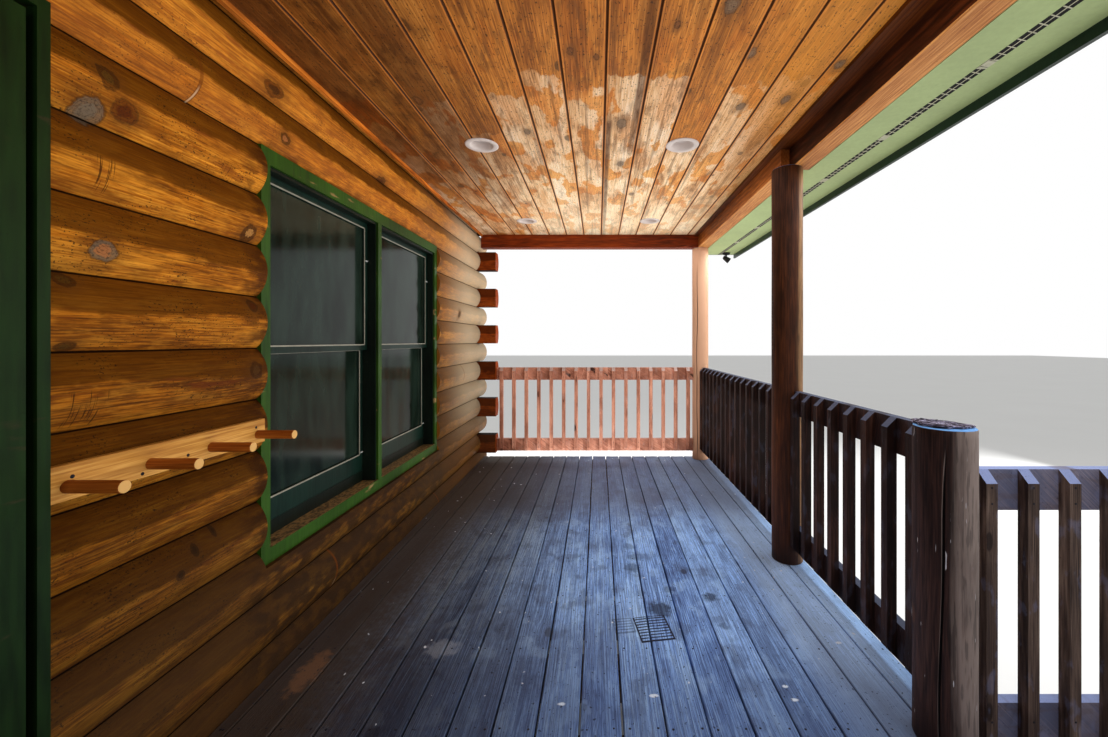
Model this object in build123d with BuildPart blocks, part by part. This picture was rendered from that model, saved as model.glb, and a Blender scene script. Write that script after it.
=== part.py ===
from build123d import *
from math import atan, cos, floor
import os

# Covered porch along the log front wall of a cabin, in millimetres.
# +Z is up, +X points away from the wall over the railing, +Y runs along the porch.
# The origin is on the ground under the middle of the whole outline.
os.makedirs("parts", exist_ok=True)

# Log wall
course = 203.2
courses_above_count = 4
log_depth = 152.0
log_bulge = 46.0
tail_length = 170.0
passing_length = 140.0
stub_length = 450.0
foundation_thickness = 200.0

# Porch plan
clear_length = 5280.0
wall_to_post = 2515.0
post_radius = 90.0
post_to_edge = 95.0
near_end_to_middle_post = 3040.0
near_end_to_newel = 1800.0
deck_height = 720.0
deck_to_ceiling = 2520.0
seat_gap = 0.3

# Framing timber
plank = 38.0
board = 19.0
joist_depth = 184.0
joist_count = 15
girder_width = 76.0
pier_radius = 125.0

# Beams
beam_drop = 145.0
beam_depth = 184.0
beam_width = 120.0
far_beam_offset = -35.0
near_beam_offset = 15.0
beam_joint_gap = 6.0
cross_beam_setback = 30.0

# Ceiling and roof
trim_overlap = 43.0
trim_drop = 19.0
ceiling_joist_depth = 89.0
rafter_depth = 140.0
rafter_count = 10
eave_reach = 485.0
rake_depth = 165.0
roof_overhang = 300.0
covering_thickness = 10.0
covering_lip = 15.0
soffit_thickness = 12.0
vent_width = 40.0
vent_thickness = 6.0
vent_from_fascia = 170.0
fascia_drop = 45.0

# Recessed lights
light_flange_radius = 100.0
light_can_radius = 75.0
light_lens_radius = 62.0
light_flange_drop = 5.0
light_lens_thickness = 8.0
light_spacing = 1715.0
light_from_end = 540.0
light_near_clearance = 200.0
light_from_wall = 605.0
light_column_spacing = 1220.0
light_column_count = 2

# Windows
door_to_window = 739.0
window_opening = 1930.0
window_start_count = 3
window_course_count = 8
window_drop = 65.0
casing_proud = 20.0
casing_width = 50.0
casing_head = 65.0
casing_foot = 62.0
mullion_width = 42.0
window_frame_width = 14.0
window_frame_setback = 12.0
window_foot_height = 62.0
window_foot_setback = 88.0
sash_width = 32.0
sash_foot = 100.0
sash_thickness = 26.0
sash_setback = 60.0
sash_gap = 4.0
glass_thickness = 4.0

# Door
near_end_to_door = 275.0
door_opening = 1070.0
door_board = 25.0
door_reveal = 20.0
door_frame_width = 45.0
door_casing_proud = 90.0
door_reveal_depth = 40.0
door_leaf_thickness = 44.0
door_leaf_gap = 3.0
sill_thickness = 20.0
knob_height = 960.0
knob_inset = 65.0
knob_radius = 27.0
knob_rose_radius = 32.0

# Peg rack
door_to_rack = 10.0
rack_length = 688.0
rack_width = 89.0
rack_height = 940.0
peg_count = 4
peg_pitch = 203.0
peg_start = 44.0
peg_radius = 16.0
peg_length = 140.0
peg_height = 34.0

# Railings
rail_height = 140.0
baluster = 38.0
baluster_pitch = 139.7
rail_top = 1030.0
rail_bottom = 90.0
porch_rail_offset = 10.0
end_rail_offset = -28.0
landing_rail_offset = 39.0
newel_height = 1045.0

# Landing and steps
landing_drop = 140.0
landing_depth = 1160.0
landing_joist_depth = 140.0
landing_joist_count = 5
tread_run = 280.0
step_count = 2
stringer_depth = 235.0

# Loose bark on the newel and the flood light
bark_length = 170.0
bark_width = 120.0
bark_thickness = 16.0
lamp_base_radius = 45.0
lamp_base_height = 20.0
lamp_stem_radius = 9.0
lamp_stem_length = 34.0
lamp_head_radius = 34.0
lamp_head_length = 84.0
lamp_tilt = 35.0
lamp_from_fascia = 120.0
lamp_from_end = 110.0

# Places worked out along X, from the cut ends behind the wall to the last step
total_depth = (
    stub_length + log_depth - log_bulge + wall_to_post + post_to_edge
    + landing_depth + step_count * tread_run
)
x_rear = -total_depth / 2
x_flat = x_rear + stub_length
x_crest = x_flat + log_depth
x_valley = x_crest - log_bulge
x_post = x_valley + wall_to_post
x_edge = x_post + post_to_edge
x_landing = x_edge + landing_depth
x_front = x_landing + step_count * tread_run
x_outer_newel = x_landing - post_to_edge
x_tail = x_crest + tail_length
far_beam_inner = x_post + far_beam_offset
far_beam_outer = far_beam_inner + beam_width
near_beam_inner = x_post + near_beam_offset
near_beam_outer = near_beam_inner + beam_width
x_fascia = x_post + eave_reach

# Places along Y
y_flat = clear_length / 2
y_valley = y_flat + log_depth - log_bulge
y_crest = y_flat + log_depth
y_passing = y_crest + passing_length
y_post = y_flat + post_radius
y_deck = y_post + post_radius
y_cross = y_flat + cross_beam_setback
y_panel = y_cross + beam_width - board
y_roof = y_deck + roof_overhang
middle_post_y = -y_flat + near_end_to_middle_post
newel_y = -y_flat + near_end_to_newel
door_y = -y_flat + near_end_to_door + door_opening / 2
rack_start_y = door_y + door_opening / 2 + door_to_rack
window_y = door_y + door_opening / 2 + door_to_window + window_opening / 2

# Heights
z_deck = deck_height
z_ceiling = z_deck + deck_to_ceiling
courses_below_count = floor(deck_to_ceiling / course) + 1
z_logs = z_ceiling - courses_below_count * course
course_count = courses_below_count + courses_above_count
z_wall_top = z_logs + course_count * course
z_window = z_logs + window_start_count * course
z_head = z_window + window_course_count * course
z_sill = z_window - window_drop
z_beam = z_ceiling - beam_drop
z_beam_top = z_beam + beam_depth
z_joist = z_deck - plank - joist_depth
z_girder = z_joist - joist_depth
z_landing = z_deck - landing_drop
z_landing_frame = z_landing - plank - landing_joist_depth
roof_slope = (z_wall_top - z_beam_top) / (far_beam_inner - x_flat)
roof_angle = atan(roof_slope)


def rafter_line(x):
    """Height of the rafters' underside at x, on the line from the wall's seat to the beam's."""
    return z_beam_top + (far_beam_inner - x) * roof_slope


def roof_line(x):
    """Height of the rafters' top at x."""
    return rafter_line(x) + rafter_depth / cos(roof_angle)


def block(x_from, x_to, y_from, y_to, z_from, z_to, mode=Mode.ADD):
    """A box between two values on each axis, in the part that is being built."""
    with Locations(((x_from + x_to) / 2, (y_from + y_to) / 2, (z_from + z_to) / 2)):
        Box(x_to - x_from, y_to - y_from, z_to - z_from, mode=mode)


def log(plane, flat, valley, crest, z, length):
    """A log with a flat back, level beds and a rounded face, run from a plane along its normal."""
    with BuildPart() as piece:
        with BuildSketch(plane):
            with BuildLine():
                Polyline((valley, z + course), (flat, z + course), (flat, z), (valley, z))
                ThreePointArc((valley, z), (crest, z + course / 2), (valley, z + course))
            make_face()
        extrude(amount=length)
    return piece.part


def wall_log(y_from, y_to, z):
    """A log of the long wall between two places along the porch."""
    return log(Plane.XZ.offset(-y_to), x_flat, x_valley, x_crest, z, y_to - y_from)


def gable_log(side, x_to, z):
    """A log of the end wall on one side, from the cut end behind the wall to x_to."""
    plane = Plane.YZ.offset(x_rear)
    return log(plane, side * y_flat, side * y_valley, side * y_crest, z, x_to - x_rear)


def spans(index, end):
    """The stretches of wall log left beside the door and the windows in one course."""
    stretches = [(-end, end)]
    cuts = []
    if index > 0 and index < window_start_count + window_course_count:
        cuts.append((door_y, door_opening))
    if index >= window_start_count and index < window_start_count + window_course_count:
        cuts.append((window_y, window_opening))
    for centre, width in cuts:
        low, high = stretches.pop()
        stretches.append((low, centre - width / 2))
        stretches.append((centre + width / 2, high))
    return stretches


def rail_panel(run, offset, cope_end):
    """A railing along X from one post's centre, balusters on its near side, coped to the posts."""
    clear = run - post_radius * (2 if cope_end else 1)
    count = floor((clear - baluster) / baluster_pitch) + 1
    first = run - post_radius - clear / 2 - (count - 1) * baluster_pitch / 2
    start = run - post_radius - clear
    with BuildPart() as upright:
        with BuildSketch(Plane.YZ.offset(first - baluster / 2)):
            with BuildLine():
                Polyline(
                    (offset, rail_bottom), (offset, rail_top),
                    (offset - baluster, rail_top - baluster),
                    (offset - baluster, rail_bottom + baluster), close=True,
                )
            make_face()
        extrude(amount=baluster)
    with BuildPart() as panel:
        for low in (rail_bottom, rail_top - rail_height):
            block(start - (post_radius if cope_end else 0), run, offset, offset + plank, low, low + rail_height)
        with Locations(*[(index * baluster_pitch, 0, 0) for index in range(count)]):
            add(upright.part)
        posts = [(0, 0), (run, 0)] if cope_end else [(run, 0)]
        with Locations(*[(x, y, rail_top / 2) for x, y in posts]):
            Cylinder(post_radius + seat_gap, rail_top * 2, mode=Mode.SUBTRACT)
    return panel.part


# Foundation under the long wall, with a return under each end wall
with BuildPart() as foundation:
    block(x_crest - foundation_thickness, x_crest, -y_crest, y_crest, 0, z_logs)
    for side in (-1, 1):
        y_ends = sorted((side * y_crest, side * (y_crest - foundation_thickness)))
        block(x_rear, x_crest - foundation_thickness, *y_ends, 0, z_logs)
foundation.part.label = "foundation"

# Every second course runs past the end walls, the courses between them stop at their inner face
with BuildPart() as wall_logs_passing:
    add([
        wall_log(y_from, y_to, z_logs + index * course)
        for index in range(0, course_count, 2) for y_from, y_to in spans(index, y_passing)
    ])
    block(
        x_flat, x_crest, door_y - door_opening / 2, door_y + door_opening / 2,
        z_deck, z_logs + course, mode=Mode.SUBTRACT,
    )
    block(
        x_flat - board, x_crest + board, window_y - window_opening / 2, window_y + window_opening / 2,
        z_sill, z_window, Mode.SUBTRACT,
    )
wall_logs_passing.part.label = "wall_logs_passing"

with BuildPart() as wall_logs_butting:
    add([
        wall_log(y_from, y_to, z_logs + index * course)
        for index in range(1, course_count, 2) for y_from, y_to in spans(index, y_flat)
    ])
    block(
        x_flat - board, x_crest + board, window_y - window_opening / 2, window_y + window_opening / 2,
        z_sill, z_window, Mode.SUBTRACT,
    )
wall_logs_butting.part.label = "wall_logs_butting"

# End wall logs cut short behind the wall, with their tails standing out over the porch
with BuildPart() as gable_logs_passing:
    add([
        gable_log(side, x_tail if index < courses_below_count else x_crest, z_logs + index * course)
        for index in range(1, course_count, 2) for side in (-1, 1)
    ])
gable_logs_passing.part.label = "gable_logs_passing"

with BuildPart() as gable_logs_butting:
    add([
        gable_log(side, x_flat, z_logs + index * course)
        for index in range(0, course_count, 2) for side in (-1, 1)
    ])
gable_logs_butting.part.label = "gable_logs_butting"

# Window pair: a casing with a mullion, let into the log below, and in it two frames with their sashes
window_front = x_valley + casing_proud
z_clear_low = z_sill + casing_foot
z_clear_high = z_head - casing_head
frame_width = (window_opening - 2 * casing_width - mullion_width) / 2
frame_sides = [
    (y_centre - frame_width / 2, y_centre + frame_width / 2)
    for y_centre in (window_y - (mullion_width + frame_width) / 2, window_y + (mullion_width + frame_width) / 2)
]
with BuildPart() as window_casing:
    block(x_flat, window_front, window_y - window_opening / 2, window_y + window_opening / 2, z_sill, z_head)
    for y_low, y_high in frame_sides:
        block(x_flat, window_front, y_low, y_high, z_clear_low, z_clear_high, Mode.SUBTRACT)
window_casing.part.label = "window_casing"

# Each frame has two jambs and a head near the casing's face, and a foot set back behind the sill
frame_front = window_front - window_frame_setback
foot_front = window_front - window_foot_setback
z_foot = z_clear_low + window_foot_height
z_frame_head = z_clear_high - window_frame_width
sash_sides = [(y_low + window_frame_width, y_high - window_frame_width) for y_low, y_high in frame_sides]
with BuildPart() as window_frames:
    for (y_low, y_high), (y_in_low, y_in_high) in zip(frame_sides, sash_sides):
        block(x_flat, frame_front, y_low, y_high, z_clear_low, z_clear_high)
        block(x_flat, frame_front, y_in_low, y_in_high, z_foot, z_frame_head, Mode.SUBTRACT)
        block(foot_front, frame_front, y_in_low, y_in_high, z_clear_low, z_foot, Mode.SUBTRACT)
window_frames.part.label = "window_frames"

# The upper sash is the outer one; the lower one stands on the foot and has a taller bottom rail
sash_height = (z_frame_head - z_foot + sash_width) / 2
upper_back = window_front - sash_setback - sash_thickness
lower_back = upper_back - sash_gap - sash_thickness
sash_levels = [
    (upper_back, z_frame_head - sash_height, sash_width),
    (lower_back, z_foot, sash_foot),
]
with BuildPart() as window_sashes:
    for y_low, y_high in sash_sides:
        for x_back, z_low, rail in sash_levels:
            block(x_back, x_back + sash_thickness, y_low, y_high, z_low, z_low + sash_height)
            block(
                x_back, x_back + sash_thickness, y_low + sash_width, y_high - sash_width,
                z_low + rail, z_low + sash_height - sash_width, Mode.SUBTRACT,
            )
window_sashes.part.label = "window_sashes"

with BuildPart() as window_glass:
    for y_low, y_high in sash_sides:
        for x_back, z_low, rail in sash_levels:
            x_glass = x_back + (sash_thickness - glass_thickness) / 2
            block(
                x_glass, x_glass + glass_thickness, y_low + sash_width, y_high - sash_width,
                z_low + rail, z_low + sash_height - sash_width,
            )
window_glass.part.label = "window_glass"

# Door casing: an outer board, a sunk reveal and the inner frame, on a sill
door_band = door_board + door_reveal + door_frame_width


def door_surround(x_from, x_to, inset, band):
    """Two jambs and a head, inset from the opening's edge, between two values of X."""
    half = door_opening / 2 - inset
    for side in (-1, 1):
        y_ends = sorted((door_y + side * half, door_y + side * (half - band)))
        block(x_from, x_to, *y_ends, z_deck, z_head - inset)
    block(x_from, x_to, door_y - half, door_y + half, z_head - inset - band, z_head - inset)


with BuildPart() as door_casing:
    casing_front = x_valley + door_casing_proud
    reveal_front = casing_front - door_reveal_depth
    door_surround(x_flat, reveal_front, 0, door_band)
    door_surround(reveal_front, casing_front, 0, door_board)
    door_surround(reveal_front, casing_front, door_board + door_reveal, door_frame_width)
    block(
        x_flat, casing_front, door_y - door_opening / 2 + door_band,
        door_y + door_opening / 2 - door_band, z_deck, z_deck + sill_thickness,
    )
door_casing.part.label = "door_casing"

leaf_half = door_opening / 2 - door_band - door_leaf_gap
leaf_front = x_valley + door_leaf_thickness / 2
with BuildPart() as door_leaf:
    block(
        leaf_front - door_leaf_thickness, leaf_front, door_y - leaf_half, door_y + leaf_half,
        z_deck + sill_thickness, z_head - door_band - door_leaf_gap,
    )
door_leaf.part.label = "door_leaf"

knob_y = door_y + leaf_half - knob_inset
with BuildPart() as door_knob:
    with BuildSketch(Plane.YZ.offset(leaf_front)):
        with Locations((knob_y, z_deck + knob_height)):
            Circle(knob_rose_radius)
    extrude(amount=knob_radius / 3)
    with BuildSketch(Plane.YZ.offset(leaf_front)):
        with Locations((knob_y, z_deck + knob_height)):
            Circle(knob_radius / 3)
    extrude(amount=knob_radius * 1.6)
    with BuildSketch(Plane.YZ.offset(leaf_front + knob_radius)):
        with Locations((knob_y, z_deck + knob_height)):
            Circle(knob_radius)
    extrude(amount=knob_radius)
    chamfer(door_knob.faces().sort_by(Axis.X)[-1].edges(), knob_radius / 3)
door_knob.part.label = "door_knob"

# Peg rack on the crests of the logs
rack_front = x_crest + board
with BuildPart() as peg_rack_board:
    block(
        x_crest, rack_front, rack_start_y, rack_start_y + rack_length,
        z_deck + rack_height, z_deck + rack_height + rack_width,
    )
peg_rack_board.part.label = "peg_rack_board"

with BuildPart() as pegs:
    with BuildSketch(Plane.YZ.offset(rack_front)):
        peg_ys = [rack_start_y + peg_start + index * peg_pitch for index in range(peg_count)]
        with Locations(*[(y, z_deck + rack_height + peg_height) for y in peg_ys]):
            Circle(peg_radius)
    extrude(amount=peg_length)
pegs.part.label = "pegs"

# Piers, deck frame and deck
porch_posts = [(x_post, y) for y in (-y_post, newel_y, middle_post_y, y_post)]
landing_posts = [(x_outer_newel, y) for y in (-y_post, newel_y)]
landing_piers = [(x_landing - plank - pier_radius, y) for y in (-y_post, newel_y)]
with BuildPart() as piers:
    with BuildSketch(Plane.XY):
        with Locations(*porch_posts):
            Circle(pier_radius)
    extrude(amount=z_girder)
    with BuildSketch(Plane.XY):
        with Locations(*landing_piers):
            Circle(pier_radius)
    extrude(amount=z_landing_frame)
piers.part.label = "piers"

with BuildPart() as deck_beams:
    block(x_crest, x_crest + plank, -y_deck, y_deck, z_joist, z_joist + joist_depth)
    block(x_edge - plank, x_edge, -y_deck, y_deck, z_joist, z_joist + joist_depth)
    block(x_post - girder_width / 2, x_post + girder_width / 2, -y_deck, y_deck, z_girder, z_joist)
deck_beams.part.label = "deck_beams"

joist_pitch = (2 * y_deck - plank) / (joist_count - 1)
with BuildPart() as deck_joists:
    for index in range(joist_count):
        y_from = -y_deck + index * joist_pitch
        block(x_crest + plank, x_edge - plank, y_from, y_from + plank, z_joist, z_joist + joist_depth)
deck_joists.part.label = "deck_joists"

with BuildPart() as deck:
    block(x_crest, x_edge, -y_deck, y_deck, z_deck - plank, z_deck)
deck.part.label = "deck"

# Round posts: three up to the beam, and short newels at the entry
with BuildPart() as tall_posts:
    with BuildSketch(Plane.XY.offset(z_deck)):
        with Locations((x_post, -y_post), (x_post, middle_post_y), (x_post, y_post)):
            Circle(post_radius)
    extrude(amount=z_beam - z_deck)
tall_posts.part.label = "tall_posts"

with BuildPart() as short_newels:
    with BuildSketch(Plane.XY.offset(z_deck)):
        with Locations((x_post, newel_y)):
            Circle(post_radius)
    extrude(amount=newel_height)
    with BuildSketch(Plane.XY.offset(z_landing)):
        with Locations(*landing_posts):
            Circle(post_radius)
    extrude(amount=newel_height)
short_newels.part.label = "short_newels"

# A flat piece of bark lies on the newel at the entry
with BuildPart() as bark_slab:
    with BuildSketch(Plane((x_post, newel_y, z_deck + newel_height))):
        with BuildLine():
            Polyline(
                (-0.50 * bark_length, 0.10 * bark_width), (-0.20 * bark_length, 0.50 * bark_width),
                (0.25 * bark_length, 0.42 * bark_width), (0.50 * bark_length, -0.10 * bark_width),
                (0.20 * bark_length, -0.50 * bark_width), (-0.32 * bark_length, -0.40 * bark_width),
                close=True,
            )
        make_face()
    extrude(amount=bark_thickness)
bark_slab.part.label = "bark_slab"

# Beams: one across each end, and the long beam in two lengths that meet out of line on a post
with BuildPart() as cross_beams:
    block(x_crest, far_beam_inner, y_cross, y_cross + beam_width, z_beam, z_beam_top)
    block(x_crest, near_beam_inner, -y_cross - beam_width, -y_cross, z_beam, z_beam_top)
cross_beams.part.label = "cross_beams"

with BuildPart() as long_beam_far:
    y_from = middle_post_y + beam_joint_gap / 2
    block(far_beam_inner, far_beam_outer, y_from, y_deck, z_beam, z_beam_top)
long_beam_far.part.label = "long_beam_far"

with BuildPart() as long_beam_near:
    y_to = middle_post_y - beam_joint_gap / 2
    block(near_beam_inner, near_beam_outer, -y_deck, y_to, z_beam, z_beam_top)
long_beam_near.part.label = "long_beam_near"

# Ceiling with round holes for the lights, trim along its edges, joists above it
light_row_count = 1 + floor((clear_length - light_from_end - light_near_clearance) / light_spacing)
light_places = [
    (x_crest + light_from_wall + column * light_column_spacing, y_flat - light_from_end - row * light_spacing)
    for column in range(light_column_count) for row in range(light_row_count)
]
with BuildPart() as ceiling:
    block(x_crest, far_beam_inner, -y_cross, y_cross, z_ceiling, z_ceiling + board)
    with Locations(*[(x, y, z_ceiling + board / 2) for x, y in light_places]):
        Cylinder(light_can_radius + seat_gap, board * 2, mode=Mode.SUBTRACT)
ceiling.part.label = "ceiling"

with BuildPart() as ceiling_trim:
    z_trim = z_ceiling - trim_drop
    block(x_crest, x_crest + trim_drop, -y_cross, y_cross, z_trim, z_ceiling)
    block(far_beam_inner - trim_overlap, far_beam_inner, middle_post_y, y_cross, z_trim, z_ceiling)
    block(far_beam_inner - trim_overlap, near_beam_inner, -y_cross, middle_post_y, z_trim, z_ceiling)
ceiling_trim.part.label = "ceiling_trim"

rafter_pitch = (2 * y_cross + beam_width) / (rafter_count - 1)
rafter_ys = [(index - (rafter_count - 1) / 2) * rafter_pitch for index in range(rafter_count)]
with BuildPart() as ceiling_joists:
    for y_low, y_high in zip(rafter_ys, rafter_ys[1:]):
        y_middle = (y_low + y_high) / 2
        x_to = far_beam_inner if y_middle > middle_post_y else near_beam_inner
        z_from = z_ceiling + board
        block(x_crest, x_to, y_middle - plank / 2, y_middle + plank / 2, z_from, z_from + ceiling_joist_depth)
ceiling_joists.part.label = "ceiling_joists"

z_lens = z_ceiling + board - light_lens_thickness
with BuildPart() as recessed_lights:
    for x, y in light_places:
        with BuildSketch(Plane.XZ.offset(-y)):
            with BuildLine():
                Polyline(
                    (x, z_lens), (x + light_lens_radius, z_lens),
                    (x + light_lens_radius, z_ceiling - light_flange_drop),
                    (x + light_flange_radius, z_ceiling - light_flange_drop / 2),
                    (x + light_flange_radius, z_ceiling), (x + light_can_radius, z_ceiling),
                    (x + light_can_radius, z_ceiling + board), (x, z_ceiling + board),
                    close=True,
                )
            make_face()
        revolve(axis=Axis((x, y, 0), (0, 0, 1)))
recessed_lights.part.label = "recessed_lights"

# Eave: soffit in two strips with a vent strip between them, and the fascia
x_vent = x_fascia - vent_from_fascia
z_soffit = z_beam
y_rake = y_roof - covering_lip - board
with BuildPart() as soffit:
    block(x_vent + vent_width / 2, x_fascia, -y_rake, y_rake, z_soffit, z_soffit + soffit_thickness)
    x_vent_inner = x_vent - vent_width / 2
    block(near_beam_outer, x_vent_inner, -y_rake, y_rake, z_soffit, z_soffit + soffit_thickness)
    block(far_beam_outer, near_beam_outer, middle_post_y, y_rake, z_soffit, z_soffit + soffit_thickness)
soffit.part.label = "soffit"

with BuildPart() as soffit_vent:
    block(
        x_vent - vent_width / 2, x_vent + vent_width / 2, -y_rake, y_rake,
        z_soffit, z_soffit + vent_thickness,
    )
soffit_vent.part.label = "soffit_vent"

with BuildPart() as fascia:
    block(x_fascia, x_fascia + board, -y_rake, y_rake, z_soffit - fascia_drop, roof_line(x_fascia + board))
fascia.part.label = "fascia"


def rafter(y_centre, beam_outer):
    """A sloping rafter with a level seat cut over the wall and over the beam."""
    with BuildPart() as piece:
        with BuildSketch(Plane.XZ.offset(-y_centre - plank / 2)):
            with BuildLine():
                Polyline(
                    (x_rear, rafter_line(x_rear)), (x_flat, z_wall_top), (x_crest, z_wall_top),
                    (x_crest, rafter_line(x_crest)), (far_beam_inner, z_beam_top),
                    (beam_outer, z_beam_top), (beam_outer, rafter_line(beam_outer)),
                    (x_fascia, rafter_line(x_fascia)), (x_fascia, roof_line(x_fascia)),
                    (x_rear, roof_line(x_rear)), close=True,
                )
            make_face()
        extrude(amount=plank)
    return piece.part


with BuildPart() as rafters:
    add([rafter(y, far_beam_outer if y > middle_post_y else near_beam_outer) for y in rafter_ys])
rafters.part.label = "rafters"


def roof_sheet(x_to, rise, thickness, half_length):
    """A sheet that follows the roof's slope, a given rise above the rafters' top."""
    drop = thickness / cos(roof_angle)
    with BuildPart() as sheet:
        with BuildSketch(Plane.XZ.offset(-half_length)):
            with BuildLine():
                Polyline(
                    (x_rear, roof_line(x_rear) + rise), (x_to, roof_line(x_to) + rise),
                    (x_to, roof_line(x_to) + rise + drop), (x_rear, roof_line(x_rear) + rise + drop),
                    close=True,
                )
            make_face()
        extrude(amount=2 * half_length)
    return sheet.part


with BuildPart() as roof_deck:
    add(roof_sheet(x_fascia + board, 0, board, y_roof - covering_lip))
roof_deck.part.label = "roof_deck"

with BuildPart() as roof_covering:
    add(roof_sheet(x_fascia + board + covering_lip, board / cos(roof_angle), covering_thickness, y_roof))
roof_covering.part.label = "roof_covering"

# Sloping boards at the roof's ends, with a level foot that closes the eave
with BuildPart() as rake_boards:
    for side in (-1, 1):
        with BuildSketch(Plane.XZ.offset(-y_rake if side > 0 else y_rake)):
            with BuildLine():
                Polyline(
                    (x_rear, roof_line(x_rear)), (x_rear, roof_line(x_rear) - rake_depth),
                    (far_beam_outer, roof_line(far_beam_outer) - rake_depth), (far_beam_outer, z_soffit),
                    (x_fascia + board, z_soffit), (x_fascia + board, roof_line(x_fascia + board)),
                    close=True,
                )
            make_face()
        extrude(amount=-side * board)
rake_boards.part.label = "rake_boards"

# Panels that close the roof space over each cross beam
with BuildPart() as gable_panels:
    for side in (-1, 1):
        x_to = far_beam_outer if side > 0 else near_beam_outer
        with BuildSketch(Plane.XZ.offset(-side * y_panel)):
            with BuildLine():
                Polyline(
                    (x_crest, z_beam_top), (x_to, z_beam_top), (x_to, roof_line(x_to)),
                    (x_crest, roof_line(x_crest)), close=True,
                )
            make_face()
        extrude(amount=-side * board)
gable_panels.part.label = "gable_panels"

# Railings
with BuildPart() as end_rails:
    with Locations((x_tail, y_post, z_deck)):
        add(rail_panel(x_post - x_tail, end_rail_offset, False))
    mirror(about=Plane.XZ)
end_rails.part.label = "end_rails"

with BuildPart() as long_rail_far:
    with Locations(Location((x_post, y_post, z_deck), (0, 0, -90))):
        add(rail_panel(y_post - middle_post_y, porch_rail_offset, True))
long_rail_far.part.label = "long_rail_far"

with BuildPart() as long_rail_near:
    with Locations(Location((x_post, middle_post_y, z_deck), (0, 0, -90))):
        add(rail_panel(middle_post_y - newel_y, porch_rail_offset, True))
long_rail_near.part.label = "long_rail_near"

landing_centre_y = (newel_y - y_post) / 2
with BuildPart() as landing_rails:
    with Locations((x_post, newel_y, z_landing)):
        add(rail_panel(x_outer_newel - x_post, landing_rail_offset, True))
    block(x_post, x_edge, newel_y, y_deck, z_joist, z_deck, mode=Mode.SUBTRACT)
    mirror(about=Plane.XZ.offset(-landing_centre_y))
landing_rails.part.label = "landing_rails"

# Landing one step down from the deck, and the steps to the ground
y_landing_far = newel_y + post_radius
with BuildPart() as landing:
    block(x_edge, x_landing, -y_deck, y_landing_far, z_landing - plank, z_landing)
landing.part.label = "landing"

landing_pitch = (y_landing_far + y_deck - plank) / (landing_joist_count - 1)
with BuildPart() as landing_frame:
    z_top = z_landing - plank
    for x_from in (x_edge, x_landing - plank):
        block(x_from, x_from + plank, -y_deck, y_landing_far, z_landing_frame, z_top)
    for index in range(landing_joist_count):
        y_from = -y_deck + index * landing_pitch
        block(x_edge, x_landing, y_from, y_from + plank, z_landing_frame, z_top)
landing_frame.part.label = "landing_frame"

riser = z_landing / (step_count + 1)
step_slope = riser / tread_run
stringer_drop = stringer_depth / cos(atan(step_slope))
stringer_faces = [(-y_post, 1), (newel_y, -1)]
with BuildPart() as stringers:
    for y_outer, inward in stringer_faces:
        with BuildSketch(Plane.XZ.offset(-y_outer)):
            with BuildLine():
                Polyline(
                    (x_landing, z_landing), (x_front, riser), (x_front, 0),
                    (x_landing + (z_landing - stringer_drop) / step_slope, 0),
                    (x_landing, z_landing - stringer_drop), close=True,
                )
            make_face()
        extrude(amount=-inward * plank)
stringers.part.label = "stringers"

with BuildPart() as treads:
    for index in range(step_count):
        x_from = x_landing + index * tread_run
        z_top = z_landing - (index + 1) * riser
        block(x_from, x_from + tread_run, -y_post + plank, newel_y - plank, z_top - plank, z_top)
treads.part.label = "treads"

# Flood light under the far corner of the eave
lamp_x = x_fascia - lamp_from_fascia
lamp_y = y_rake - lamp_from_end
with BuildPart() as flood_light:
    with Locations((lamp_x, lamp_y, z_soffit - lamp_base_height / 2)):
        Cylinder(lamp_base_radius, lamp_base_height)
    with Locations((lamp_x, lamp_y, z_soffit - lamp_base_height - lamp_stem_length / 2)):
        Cylinder(lamp_stem_radius, lamp_stem_length)
    lamp_z = z_soffit - lamp_base_height - lamp_stem_length - lamp_head_radius / 2
    with Locations(Location((lamp_x, lamp_y, lamp_z), (0, 90 + lamp_tilt, 0))):
        Cylinder(lamp_head_radius, lamp_head_length)
flood_light.part.label = "flood_light"

nodes = [
    foundation, wall_logs_passing, wall_logs_butting, gable_logs_passing, gable_logs_butting,
    window_casing, window_frames, window_sashes, window_glass, door_casing, door_leaf, door_knob,
    peg_rack_board, pegs, piers, deck_beams, deck_joists, deck, tall_posts, short_newels, bark_slab,
    cross_beams, long_beam_far, long_beam_near, ceiling, ceiling_trim, ceiling_joists,
    recessed_lights, soffit, soffit_vent, fascia, rafters, roof_deck, roof_covering, rake_boards,
    gable_panels, end_rails, long_rail_far, long_rail_near, landing_rails, landing, landing_frame,
    stringers, treads, flood_light,
]
for node in nodes:
    export_step(node.part, f"parts/{node.part.label}.step")
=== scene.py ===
from collections import namedtuple
from math import atan, cos, pi, radians, sin

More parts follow.
